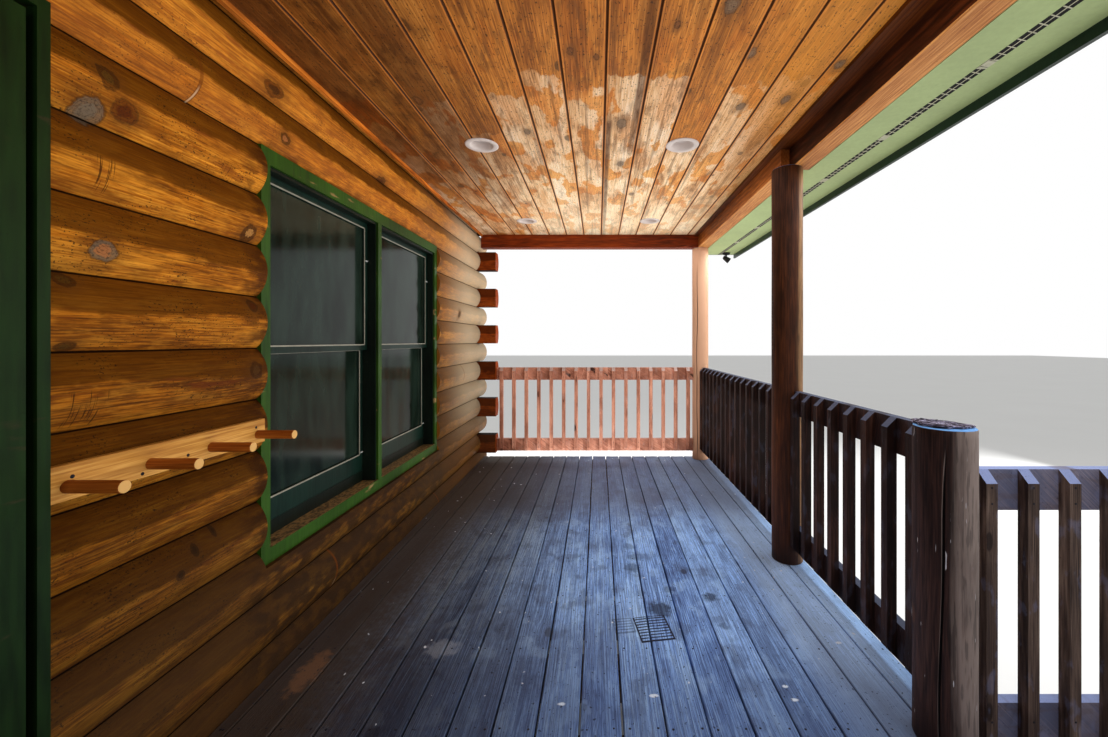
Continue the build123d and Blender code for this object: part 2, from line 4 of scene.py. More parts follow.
import bpy
import numpy as np
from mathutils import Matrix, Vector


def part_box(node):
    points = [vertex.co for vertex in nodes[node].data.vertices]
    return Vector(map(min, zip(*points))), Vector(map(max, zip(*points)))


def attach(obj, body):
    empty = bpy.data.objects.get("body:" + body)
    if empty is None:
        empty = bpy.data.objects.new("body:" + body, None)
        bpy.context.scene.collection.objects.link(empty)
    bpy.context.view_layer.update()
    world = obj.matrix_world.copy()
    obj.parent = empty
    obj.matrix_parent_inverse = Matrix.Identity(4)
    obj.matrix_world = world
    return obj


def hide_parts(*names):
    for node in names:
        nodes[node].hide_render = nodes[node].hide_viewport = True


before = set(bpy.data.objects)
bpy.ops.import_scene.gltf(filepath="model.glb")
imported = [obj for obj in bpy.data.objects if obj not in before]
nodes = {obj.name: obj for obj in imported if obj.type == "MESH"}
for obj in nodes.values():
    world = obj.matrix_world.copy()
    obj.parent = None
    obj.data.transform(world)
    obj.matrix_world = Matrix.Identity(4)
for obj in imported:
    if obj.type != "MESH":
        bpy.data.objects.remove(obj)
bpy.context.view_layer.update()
chance_draw = np.random.default_rng(41)

Shape = namedtuple("Shape", "points groups marks")
Grain = namedtuple("Grain", "slow fibre rings halo knot")


def corners(node):
    """The lowest and the highest corner of a CAD node."""
    low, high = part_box(node)
    return np.array(low), np.array(high)


# Places that the CAD nodes give
wall_low, wall_high = corners("wall_logs_passing")
butt_low, butt_high = corners("wall_logs_butting")
tail_low, tail_high = corners("gable_logs_passing")
deck_low, deck_high = corners("deck")
ceiling_low, ceiling_high = corners("ceiling")
light_low, light_high = corners("recessed_lights")
post_low, post_high = corners("tall_posts")
newel_low, newel_high = corners("short_newels")
bark_low, bark_high = corners("bark_slab")
far_beam_low, far_beam_high = corners("long_beam_far")
near_beam_low, near_beam_high = corners("long_beam_near")
cross_low, cross_high = corners("cross_beams")
cover_low, cover_high = corners("roof_covering")
panel_low, panel_high = corners("gable_panels")
vent_low, vent_high = corners("soffit_vent")
landing_low, landing_high = corners("landing")
tread_low, tread_high = corners("treads")
casing_low, casing_high = corners("window_casing")
pane_low, pane_high = corners("window_glass")
leaf_low, leaf_high = corners("door_leaf")
knob_low, knob_high = corners("door_knob")
rack_low, rack_high = corners("peg_rack_board")
peg_low, peg_high = corners("pegs")
lamp_low, lamp_high = corners("flood_light")

# Logs: their course, and how far inside the round face and beyond the butting ends the pith lies
course = 0.2032
pith_depth = 0.110
pith_beyond_end = 0.042

# Round posts
post_radius = 0.090
x_post = post_low[0] + post_radius
y_post = post_high[1] - post_radius
middle_post_y = (far_beam_low[1] + near_beam_high[1]) / 2
newel_y = bark_low[1] / 2 + bark_high[1] / 2
x_landing_post = newel_high[0] - post_radius

# Railings: each lies at its own distance from its row of posts
baluster, baluster_pitch, rail_top, rail_bottom = 0.038, 0.1397, 1.030, 0.090
porch_rail_offset, end_rail_offset, landing_rail_offset = 0.010, -0.028, 0.039
landing_middle = (newel_y - y_post) / 2

# Roof slope, from the wall's seat to the beam's
rafter_depth = 0.140
roof_board = 0.019
roof_slope = (wall_high[2] - far_beam_high[2]) / (far_beam_low[0] - wall_low[0])
roof_cosine = cos(atan(roof_slope))

# Windows
sash_border, sash_foot, window_jamb, mullion = 0.032, 0.100, 0.014, 0.042
window_middle = (casing_low[1] + casing_high[1]) / 2
window_half = (casing_high[1] - casing_low[1]) / 2
sill_height = pane_low[2] - sash_foot - 0.062


def roof_line(x):
    """Height of the rafters' top at x: the beam's top, plus slope times the way in, plus the rafter."""
    return far_beam_high[2] + (far_beam_low[0] - x) * roof_slope + rafter_depth / roof_cosine


def paint(red, green, blue):
    """A display colour from 0 to 255 a channel as a linear one, ((c + 0.055) / 1.055) to the power 2.4."""
    channels = np.array([red, green, blue]) / 255
    return (*(((channels + 0.055) / 1.055) ** 2.4).tolist(), 1.0)


def paints(*colours):
    """Several display colours as linear ones."""
    return [paint(*colour) for colour in colours]


def toned(colour, factor):
    """A linear colour made darker or lighter by a factor."""
    return tuple(min(channel * factor, 1.0) for channel in colour[:3]) + (1.0,)


# Camera, lamps, floor and background
camera = bpy.data.objects.new("camera", bpy.data.cameras.new("camera"))
camera.location = (-0.527, -2.33, 2.05)
camera.rotation_euler = (radians(90), 0, 0)
camera.data.sensor_width = 36
camera.data.lens = 14.5
camera.data.shift_x = -0.040
camera.data.shift_y = -0.025
camera.data.clip_start = 0.02
bpy.context.scene.collection.objects.link(camera)
bpy.context.scene.camera = camera
bpy.context.scene.view_settings.view_transform = "Standard"


def soft_lamp(name, place, turn, width, height, power, colour=(1.0, 1.0, 1.0)):
    """A rectangular lamp that shines along its own -Z axis."""
    lamp = bpy.data.lights.new(name, "AREA")
    lamp.shape = "RECTANGLE"
    lamp.size, lamp.size_y = width, height
    lamp.energy = power
    lamp.color = colour
    holder = bpy.data.objects.new(name, lamp)
    holder.location = place
    holder.rotation_euler = [radians(angle) for angle in turn]
    holder.visible_camera = False
    holder.visible_glossy = False
    bpy.context.scene.collection.objects.link(holder)


soft_lamp("open_side", (7.0, 0.6, 1.8), (90, 0, 90), 9.0, 2.8, 420)
soft_lamp("near_end", (-0.4, -7.0, 2.3), (88, 0, 0), 4.0, 3.0, 110)
soft_lamp("far_end", (-0.4, 7.0, 2.3), (88, 0, 180), 4.0, 3.0, 300)
soft_lamp("deck_glow", (-0.5, 0.8, 0.76), (180, 0, 0), 1.7, 4.0, 46)
soft_lamp("eave_glow", (0.25, 0.8, 3.02), (0, -25, 0), 0.5, 4.0, 14)
soft_lamp("sky_glow", (0.92, 0.4, 2.96), (0, 25, 0), 0.30, 5.2, 46, (0.80, 0.90, 1.0))


class Value:
    """What a socket gives, such as a number that varies over a surface; arithmetic adds Math nodes."""

    def __init__(self, finish, socket):
        self.finish = finish
        self.socket = socket

    def __add__(self, other):
        return self.finish.math("ADD", self, other)

    def __radd__(self, other):
        return self.finish.math("ADD", other, self)

    def __sub__(self, other):
        return self.finish.math("SUBTRACT", self, other)

    def __rsub__(self, other):
        return self.finish.math("SUBTRACT", other, self)

    def __mul__(self, other):
        return self.finish.math("MULTIPLY", self, other)

    def __rmul__(self, other):
        return self.finish.math("MULTIPLY", other, self)

    def __truediv__(self, other):
        return self.finish.math("DIVIDE", self, other)

    def __pow__(self, other):
        return self.finish.math("POWER", self, other)

    def __abs__(self):
        return self.finish.math("ABSOLUTE", self)

    def floor(self):
        """The whole number below."""
        return self.finish.math("FLOOR", self)

    def fraction(self):
        """What is left over the whole number below."""
        return self.finish.math("FRACT", self)

    def rise(self, low, high):
        """0 at low and 1 at high with a smooth step between them; low may be the larger one."""
        sockets = {"Value": self, "From Min": low, "From Max": high}
        return self.finish.node("MapRange", {"interpolation_type": "SMOOTHSTEP"}, sockets)[0]


class Finish:
    """A material and the nodes that make it."""

    def __init__(self, name, **constants):
        self.material = bpy.data.materials.new(name)
        self.material.use_nodes = True
        self.tree = self.material.node_tree
        self.shader = self.tree.nodes["Principled BSDF"]
        for socket, value in {"Specular_IOR_Level": 0.22, **constants}.items():
            self.shader.inputs[socket.replace("_", " ")].default_value = value

    def node(self, kind, settings, sockets):
        """A node with its settings made first, then its sockets; gives its outputs."""
        made = self.tree.nodes.new("ShaderNode" + kind)
        for name, value in settings.items():
            if name == "stops":
                elements = made.color_ramp.elements
                for element, (place, colour) in zip(elements, (value[0], value[-1])):
                    element.position, element.color = place, colour
                for place, colour in value[1:-1]:
                    elements.new(place).color = colour
            else:
                setattr(made, name, value)
        for name, value in sockets.items():
            if isinstance(value, Value):
                self.tree.links.new(value.socket, made.inputs[name])
            else:
                made.inputs[name].default_value = value
        return [Value(self, socket) for socket in made.outputs]

    def math(self, operation, *terms):
        return self.node("Math", {"operation": operation}, dict(enumerate(terms)))[0]

    def split(self, vector):
        """The three parts of a vector or a colour."""
        return self.node("SeparateXYZ", {}, {0: vector})

    def vector(self, x, y, z):
        return self.node("CombineXYZ", {}, {0: x, 1: y, 2: z})[0]

    def place(self):
        """The point on the surface, in metres in the shared frame."""
        return self.split(self.node("TexCoord", {}, {})[3])

    def facing(self):
        """The direction that the surface faces."""
        return self.split(self.node("TexCoord", {}, {})[1])

    def mark(self, name):
        """A value kept with the points of a piece."""
        return self.node("Attribute", {"attribute_name": name}, {})[2]

    def chance(self, whole_number):
        """A random number from 0 to 1 for each whole number."""
        return self.node("TexWhiteNoise", {"noise_dimensions": "1D"}, {"W": whole_number})[0]

    def noise(self, place, scale=1.0, detail=2.0):
        """Noise from 0 to 1 at a place given as a vector or as three numbers."""
        point = self.vector(*place) if isinstance(place, tuple) else place
        return self.node("TexNoise", {}, {"Vector": point, "Scale": scale, "Detail": detail})[0]

    def specks(self, place, scale, share):
        """Small spots: 1 where noise is in its highest part."""
        return self.noise(place, scale, 1.0).rise(0.80 - share, 0.84 - share)

    def oval(self, place, centre, reach):
        """How far a point in a plane lies from an oval's centre: 1 on the oval itself."""
        scale = (1 / reach[0], 1 / reach[1], 0.0)
        shift = (-centre[0] / reach[0], -centre[1] / reach[1], 0.0)
        scaled = self.node("VectorMath", {"operation": "MULTIPLY_ADD"}, {0: place, 1: scale, 2: shift})[0]
        return self.node("VectorMath", {"operation": "LENGTH"}, {0: scaled})[1]

    def mix(self, share, first, second, blend="MIX"):
        """first where share is 0 and second where it is 1."""
        settings = {"data_type": "RGBA", "blend_type": blend}
        return self.node("Mix", settings, {0: share, 6: first, 7: second})[2]

    def coats(self, colour, *layers):
        """Layers over a colour in turn, each of them a share, a tint and, if it isn't plain, its blend."""
        for share, tint, *blend in layers:
            colour = self.mix(share, colour, tint, *blend)
        return colour

    def ramp(self, value, stops):
        return self.node("ValToRGB", {"stops": stops}, {0: value})[0]

    def close(self, colour, roughness, height=None, depth=0.001):
        """Feeds the shader: its colour, its roughness and the relief, whose height of 1 stands for depth."""
        inputs = {"Base Color": colour, "Roughness": roughness}
        if height is not None:
            inputs["Normal"] = self.node("Bump", {}, {"Distance": depth, "Height": height})[0]
        for name, value in inputs.items():
            if isinstance(value, Value):
                self.tree.links.new(value.socket, self.shader.inputs[name])
            else:
                self.shader.inputs[name].default_value = value
        return self.material


def wood(finish, along, across, depth, shift=0.0, ring=0.009, spacing=0.36, share=0.5, wander=0.03):
    """Growth rings, fibres and knots of a timber, from distances in metres along and across it.

    Rings: the distance sqrt(across^2 + depth^2) from the pith, plus slow noise and a swelling near each
    knot, divided by the ring's width; its fraction rises to a dark band. Fibres: noise drawn out along
    the timber. Knots: one cell every spacing, of which a share holds an oval.
    """
    slow = finish.noise((along * 0.8 + shift * 13.7, across * 5.0 + shift * 7.1, depth * 5.0))
    face = finish.vector(along * 0.6 + shift * 29.3, across + shift * 17.9, 0.0)
    cells = finish.node("TexVoronoi", {"voronoi_dimensions": "2D"}, {"Vector": face, "Scale": 1 / spacing})
    distance = cells[0] * spacing
    luck, size, _ = finish.split(cells[1])
    present = luck.rise(1 - share, 1.005 - share)
    knot = present * (distance / (size * 0.020 + 0.007)).rise(1.15, 0.80)
    halo = present * distance.rise(0.085, 0.0)
    radius = (across * across + depth * depth) ** 0.5 + (slow - 0.5) * (2 * wander) + halo * 0.022
    wave = (radius / ring).fraction()
    rings = wave.rise(0.25, 0.90) * wave.rise(1.0, 0.93)
    fibre = finish.noise((along * 7.0 + shift * 5.0, across * 190.0, depth * 190.0))
    return Grain(slow, fibre, rings, halo, knot)


def wood_colour(finish, grain, pale, main, dark, knot, ring_share=0.40):
    """From pale to dark by the fibres and the slow noise, darker on the rings, round and in the knots."""
    base = finish.ramp(grain.slow * 0.5 + grain.fibre * 0.5, [(0.36, dark), (0.50, main), (0.64, pale)])
    return finish.coats(
        base, (grain.rings * ring_share, dark), (grain.halo * 0.45, dark), (grain.knot * 0.85, knot)
    )


def placed_knots(finish, colour, first, second, halo, knots):
    """Ovals at given places: a stained halo, a dark outline, a rim and a core, with thin rings and cracks.

    Each point takes the rim and core colours of the knot that it is nearest to.
    """
    place = finish.vector(first, second, 0.0)
    ragged = finish.noise(place, 30.0) - 0.5
    fine = finish.noise(place, 170.0)
    outline = paint(44, 26, 12)
    nearest, rim, core = 4.0, outline, outline
    for first_centre, second_centre, first_reach, second_reach, own_rim, own_core in knots:
        distance = finish.oval(place, (first_centre, second_centre), (first_reach, second_reach))
        nearer = finish.math("LESS_THAN", distance, nearest)
        rim, core = finish.mix(nearer, rim, own_rim), finish.mix(nearer, core, own_core)
        nearest = finish.math("MINIMUM", distance, nearest)
    away = nearest + ragged * 0.85
    ring = abs((away * 4.2).fraction() - 0.5).rise(0.16, 0.0) * away.rise(1.00, 0.92)
    edge = abs(away - 1.0).rise(0.13, 0.03)
    cracks = away.rise(1.0, 0.9) * fine.rise(0.54, 0.62)
    return finish.coats(
        colour,
        (away.rise(2.8, 0.9) * (0.20 + fine * 0.6), halo),
        (away.rise(1.04, 0.88) * 0.62, rim),
        ((away + (fine - 0.5) * 0.3).rise(0.62, 0.44) * 0.70, core),
        (ring * 0.35 + edge * 0.45 + cracks * 0.40, outline),
    )


def log_finish(name, long_wall, colours, joints, knots, drips):
    """Stained logs: each course has its own rings, a dusty top half darkened further by painted shade, dark beds
    with painted shade in the crease, and filled butt joints.
    """
    finish = Finish(name, Specular_IOR_Level=0.07)
    x, y, z = finish.place()
    turned_x, turned_y, _ = finish.facing()
    level = (z - wall_low[2]) / course
    index = level.floor()
    height = level.fraction()
    luck = finish.chance(index)
    if long_wall:
        along, end, depth = y, abs(turned_y), x - (wall_high[0] - pith_depth)
    else:
        along, end, depth = x, abs(turned_x), abs(y) - (-butt_low[1] + pith_beyond_end)
    across = (height - 0.5) * course + (luck - 0.5) * 0.07
    grain = wood(finish, along, across, depth, index * 3.17 + luck, 0.0095, 0.40, 0.60, 0.055)
    pale, main, dark, knot, dust_and_shade, cut, cut_ring = colours
    rust, mould_tint, stain, drip = paints((104, 46, 12), (34, 22, 10), (58, 28, 6), (48, 23, 5))
    patch = finish.noise((along * 2.6, z * 17.0, index * 5.3), detail=4.0)
    blot = finish.noise((along * 13.0, z * 24.0, index * 3.3), detail=4.0)
    line = finish.noise((along * 2.4 + grain.slow * 2.0, across * 110.0 + grain.slow * 16.0, index))
    scratch = finish.noise((along * 22.0, z * 230.0, index), detail=3.0)
    rusty = finish.noise((along * 5.0, z * 26.0, index * 2.9 + 4.0), detail=3.0)
    edge = finish.noise((along * 2.3, index * 7.7, 0.0), detail=4.0)
    # the top half of each course takes a darker colour: partly real dusting, partly painted shade on faces that
    # look up, away from the light below
    dusty_shaded_upper = (height + (edge - 0.5) * 0.40 + (blot - 0.5) * 0.12).rise(0.50, 0.58)
    mould_place = finish.vector(along * 0.7, z, x)
    mould = finish.specks(mould_place, 190.0, 0.170) * finish.noise(mould_place, 9.0).rise(0.47, 0.58)
    colour = finish.coats(
        wood_colour(finish, grain, pale, main, dark, knot, 0.34),
        (patch.rise(0.53, 0.62) * 0.28, pale),
        (patch.rise(0.46, 0.38) * 0.34, dark),
        (blot.rise(0.53, 0.64) * 0.34, dark),
        (blot.rise(0.45, 0.37) * 0.16, pale),
        (line.rise(0.56, 0.64) * 0.36, dark),
        (scratch.rise(0.53, 0.63) * 0.46, dark),
        (scratch.rise(0.45, 0.36) * 0.20, pale),
        (rusty.rise(0.60, 0.66) * 0.55, rust),
        (dusty_shaded_upper * (0.86 - scratch * 0.12), dust_and_shade),
        (mould * 0.80, mould_tint),
    )
    if long_wall:
        window_side = abs(y - window_middle).rise(window_half + 0.15, window_half + 0.01)
        beside_window = window_side * z.rise(2.90, 2.80)
        colour = finish.coats(
            colour,
            (z.rise(2.66, 2.84) * (1.0 - dusty_shaded_upper) * 0.16, paint(214, 124, 56)),
            (beside_window * blot.rise(0.38, 0.58) * 0.78, stain),
            (y.rise(0.75, 1.15) * (0.20 + blot * 0.40), paint(112, 78, 46)),
            # painted light: towards the far end, above the lowest courses, the logs are paler where sun falls on
            # them
            (y.rise(1.35, 2.3) * z.rise(0.9, 1.5) * 0.60, paint(190, 174, 144)),
        )
    if drips:
        run = finish.noise((along * 230.0, z * 9.0, index), detail=1.0).rise(0.57, 0.63)
    for low_along, high_along, low_z, high_z in drips:
        inside = along.rise(low_along, low_along + 0.01) * along.rise(high_along, high_along - 0.01)
        inside = inside * z.rise(low_z, low_z + 0.02) * z.rise(high_z, high_z - 0.015)
        colour = finish.mix(inside * run * 0.80, colour, drip)
    if knots:
        colour = placed_knots(finish, colour, along, z, paint(92, 52, 16), knots)
    # cut ends show their rings, and the beds between the courses are dark, as a dark joint line with painted shade
    # in the crease
    rings = (((across * across + depth * depth) ** 0.5 + (grain.slow - 0.5) * 0.01) / 0.007).fraction()
    cut_colour = finish.mix(rings.rise(0.35, 0.95) * 0.55, cut, cut_ring)
    seam = abs(height - 0.5).rise(0.484, 0.496)
    colour = finish.coats(
        colour,
        # painted shade: the logs are multiplied darker from the top course down towards the deck, less so towards
        # the far end
        (z.rise(2.70, 1.05) * (1.0 - y.rise(1.2, 2.4) * 0.55), (0.30, 0.33, 0.36, 1.0), "MULTIPLY"),
        (z.rise(1.55, 0.90) * 0.32, paint(62, 48, 34)),
        (end.rise(0.55, 0.85), cut_colour),
        (seam * (1.0 - end.rise(0.5, 0.8)) * 0.95, paint(20, 10, 4)),
    )
    for joint_index, joint_place in joints:
        here = abs(index - joint_index).rise(0.6, 0.4)
        away = abs(along + (height - 0.5) * (height - 0.5) * 0.05 - joint_place)
        filled = height.rise(0.34, 0.16) * blot.rise(0.38, 0.52)
        colour = finish.coats(
            colour,
            (here * away.rise(0.0080, 0.0050) * (0.25 + blot * 0.6), paint(96, 46, 10)),
            (here * away.rise(0.0040, 0.0020) * filled * 0.6, paint(206, 172, 130)),
        )
    relief = grain.fibre * 0.4 + scratch * 0.8 - seam * 1.5
    return finish.close(colour, 0.52 + 0.20 * grain.fibre + 0.15 * dusty_shaded_upper, relief, 0.0022)


def deck_finish(stains, soot_grids):
    """Weathered boards, blue-grey and fine-grained, with pale spots, stains and two grids of soot; their blue is a
    painted reflection of the sky.
    """
    finish = Finish("weathered_sky_tinted_deck", Specular_IOR_Level=0.20)
    x, y, z = finish.place()
    tone = finish.mark("tone")
    across = ((x - deck_edges[0]) / deck_pitch).fraction() * deck_pitch - deck_pitch / 2
    grain = wood(finish, y, across, tone * 0.06 + 0.015, tone * 9.0, 0.0065, 0.55, 0.40, 0.018)
    # the blue in these colours is a painted reflection of the sky on grey weathered wood
    pale, main, dark, knot, shade, grey = paints(
        (176, 212, 255), (138, 178, 242), (64, 86, 136), (40, 42, 56), (46, 56, 88), (72, 80, 106)
    )
    plane = finish.vector(x, y, 0.0)
    streak = finish.noise((x * 340.0, y * 3.0, tone * 40.0))
    fine = finish.noise((x * 640.0, y * 26.0, tone * 11.0))
    broad = finish.noise((x * 1.6, y * 1.1, 3.0), detail=4.0)
    scuffed = finish.noise((x * 9.0, y * 6.0, 1.0), detail=4.0)
    ragged = finish.noise(plane, 34.0, 3.0)
    colour = finish.coats(
        wood_colour(finish, grain, pale, main, dark, knot, 0.50),
        (abs(tone - 0.5) * 0.6, finish.mix(tone.rise(0.4, 0.6), dark, pale)),
        (streak.rise(0.50, 0.64) * 0.50, shade),
        (fine.rise(0.53, 0.64) * 0.45, paint(44, 52, 80)),
        (broad.rise(0.50, 0.64) * 0.40, grey),
        (scuffed.rise(0.54, 0.66) * 0.40, paint(58, 62, 84)),
        (scuffed.rise(0.45, 0.36) * 0.25, pale),
        # paler and bluer along the open side as painted sky light, greyer at both ends, brown along the wall and
        # darkened there by painted shadow
        (x.rise(0.24, 0.42) * 0.50, paint(176, 206, 246)),
        (y.rise(0.60, 1.50) * 0.76, paint(80, 82, 98)),
        (y.rise(-0.20, -0.85) * 0.58, paint(50, 62, 98)),
        # painted shadow: along the wall the boards are multiplied darker and browner, then darkened further towards
        # the logs
        ((x + (ragged - 0.5) * 0.20).rise(-0.45, -1.30), (0.40, 0.31, 0.24, 1.0), "MULTIPLY"),
        ((x + (ragged - 0.5) * 0.30).rise(-1.20, -1.66) * 0.90, paint(54, 42, 32)),
        (x.rise(landing_low[0] - 0.002, landing_low[0] + 0.002) * 0.55, paint(104, 106, 112)),
    )
    for centre_x, centre_y, reach_x, reach_y, share, stain in stains:
        away = finish.oval(plane, (centre_x, centre_y), (reach_x, reach_y)) + (ragged - 0.5) * 1.3
        colour = finish.mix(away.rise(1.0, 0.45) * share, colour, stain)
    # each grid of soot: bars across it, with a border on each side, turned a little
    lean_cos, lean_sin = cos(radians(9)), sin(radians(9))
    worn = ragged.rise(0.26, 0.40) * 0.8 + 0.2
    for centre_x, centre_y, half_x, half_y, share in soot_grids:
        u = abs((x - centre_x) * lean_cos + (y - centre_y) * lean_sin)
        v = (y - centre_y) * lean_cos - (x - centre_x) * lean_sin
        inside = u.rise(half_x, half_x - 0.003) * abs(v).rise(half_y, half_y - 0.003)
        bars = abs(((v + half_y) / 0.0195).fraction() - 0.5).rise(0.26, 0.14)
        border = u.rise(half_x - 0.012, half_x - 0.007) + abs(v).rise(half_y - 0.009, half_y - 0.005)
        mark = inside * finish.math("MINIMUM", bars + border, 1.0) * worn * share
        colour = finish.mix(mark, colour, paint(22, 26, 44))
    flat_place = finish.vector(x, y * 0.8, 0.0)
    colour = finish.coats(
        colour,
        (finish.specks(flat_place, 75.0, 0.110) * 0.75, paint(28, 32, 46)),
        (finish.specks(flat_place, 150.0, 0.120) * 0.55, paint(36, 40, 56)),
        (finish.specks(flat_place, 31.0, 0.045) * 0.9, paint(206, 212, 222)),
    )
    return finish.close(colour, 0.60 + 0.2 * grain.fibre, grain.fibre * 0.4 + streak * 0.6 + fine * 0.4, 0.0018)


def ceiling_finish(knots):
    """Mottled boards: brown near the entry, washed pale beyond a lap mark in each board, amber blotches."""
    finish = Finish("mottled_ceiling")
    x, y, z = finish.place()
    tone = finish.mark("tone")
    across = ((x - ceiling_first) / ceiling_pitch).fraction() * ceiling_pitch - ceiling_pitch / 2
    grain = wood(finish, y, across, tone * 0.05 + 0.02, tone * 11.0, 0.010, 0.34, 0.55, 0.030)
    browns = paints((230, 152, 68), (200, 122, 46), (132, 74, 28), (88, 60, 32))
    washed_browns = paints((255, 240, 212), (252, 218, 170), (220, 160, 98), (120, 98, 74))
    rag = finish.noise((x * 16.0, y * 6.0, tone * 20.0), detail=4.0)
    grime = finish.noise((x * 8.0, y * 2.6, tone * 9.0), detail=3.0)
    amber = finish.noise((x * 7.0, y * 3.0, tone * 31.0), detail=4.0).rise(0.545, 0.575)
    stripe = finish.noise((x * 30.0, y * 0.9, tone * 5.0), detail=3.0)
    smear = finish.noise((x * 70.0, y * 9.0, tone), detail=3.0)
    dirt = finish.noise((x * 20.0, y * 9.0, tone * 3.0), detail=4.0)
    # the wash starts at another place in each board and is strongest over the middle and the far end
    brown = finish.coats(
        wood_colour(finish, grain, *browns, 0.32), (tone.rise(0.60, 0.80) * 0.55, paint(118, 70, 32))
    )
    washed = wood_colour(finish, grain, *washed_browns, 0.35)
    lap = (tone * 7.3).fraction() * 0.34 + (tone * 3.1).fraction().rise(0.74, 0.80) * 0.55
    beyond = (y - lap + 0.42 + (rag - 0.5) * 0.22).rise(0.0, 0.015)
    middle = abs(x + 0.45).rise(1.15, 0.60)
    wash = beyond * (middle * 0.70 + y.rise(0.0, 1.9) * 0.60) * (1.0 - grime.rise(0.44, 0.62) * 0.55)
    # one middle board is dark along its right edge, and along its left edge farther in
    ragged_x = x + (stripe - 0.5) * 0.03
    right_edge = ragged_x.rise(-0.352, -0.336) * x.rise(-0.298, -0.300) * (y + rag * 0.6).rise(0.9, 0.5)
    left_edge = x.rise(-0.496, -0.494) * ragged_x.rise(-0.446, -0.464) * (y + rag * 0.4).rise(0.1, 0.3)
    colour = finish.coats(
        brown,
        (finish.math("MINIMUM", wash, 1.0), washed),
        (amber * (beyond * 0.66 + 0.24), (0.86, 0.50, 0.14, 1.0), "MULTIPLY"),
        (stripe.rise(0.56, 0.63) * 0.50, paint(104, 58, 22)),
        (smear.rise(0.52, 0.64) * grime.rise(0.43, 0.55) * 0.46, paint(104, 68, 36)),
        (dirt.rise(0.56, 0.66) * 0.34, paint(92, 56, 26)),
        ((right_edge + left_edge) * (smear * 0.7 + 0.45), paint(86, 46, 12)),
        # darker at the near end and along the wall, golden near the beam, palest in the far left corner
        (y.rise(0.2, -2.2) * 0.25, paint(150, 84, 30)),
        (x.rise(-0.85, -1.55) * y.rise(2.2, 0.3) * (dirt * 0.75 + 0.30), paint(66, 31, 6)),
        (x.rise(0.00, 0.40) * y.rise(0.9, -0.4) * 0.45, paint(232, 150, 46)),
        (x.rise(0.30, 0.58) * y.rise(-0.2, 1.0) * 0.45, paint(160, 120, 50)),
        (y.rise(0.9, 2.5) * x.rise(-1.5, -0.8) * 0.40, paint(255, 234, 196)),
    )
    colour = placed_knots(finish, colour, x, y, paint(116, 72, 34), knots)
    edge = ceiling_pitch / 2
    colour = finish.coats(
        colour,
        (finish.specks((x, y * 0.5, 0.0), 120.0, 0.155) * 0.75, paint(50, 30, 16)),
        # painted highlight: a pale orange lip along each side of a groove
        (abs(across).rise(edge - 0.015, edge - 0.009) * 0.42, paint(236, 142, 60)),
        # painted shade: near-black inside the groove
        (abs(across).rise(edge - 0.0072, edge - 0.0045) * 0.92, paint(50, 20, 6)),
    )
    return finish.close(colour, 0.42 + 0.25 * grime, grain.fibre * 0.8, 0.0012)


def board_finish(
    name, axis, colours, ring=0.008, spacing=0.5, rough=0.6, grime=0.3, grime_colour=(0, 0, 0), underside=None,
    outer_shade_tint=None,
):
    """Plain sawn wood along one axis, with grime in slow noise.

    Where given, the underside is paler as painted light from below, and the part beyond x = 0 is multiplied by a
    tint of painted shade.
    """
    finish = Finish(name, Specular_IOR_Level=0.20)
    place = dict(zip("xyz", finish.place()))
    across, depth = [place[other] for other in "xyz" if other != axis]
    grain = wood(finish, place[axis], across + 0.013, depth * 0.35 + 0.05, 0.4, ring, spacing, 0.55, 0.02)
    point = finish.vector(place["x"], place["y"], place["z"])
    cloud = finish.noise(point, 3.1, 4.0)
    colour = finish.coats(
        wood_colour(finish, grain, *colours, 0.45), (cloud.rise(0.45, 0.68) * grime, paint(*grime_colour))
    )
    # painted light: faces that look down take the paler underside colours, as if lit from below
    if underside is not None:
        chips = finish.noise(point, 16.0, 4.0)
        below = (finish.facing()[2] + (chips - 0.5) * 0.8).rise(-0.35, -0.60)
        colour = finish.mix(below, colour, wood_colour(finish, grain, *underside, 0.35))
    # painted shade: beyond x = 0 the wood is multiplied darker
    if outer_shade_tint is not None:
        colour = finish.mix(place["x"].rise(0.0, 0.2), colour, outer_shade_tint, "MULTIPLY")
    colour = finish.mix(finish.specks(point, 170.0, 0.12) * 0.4, colour, colours[2])
    return finish.close(colour, rough, grain.fibre, 0.0012)


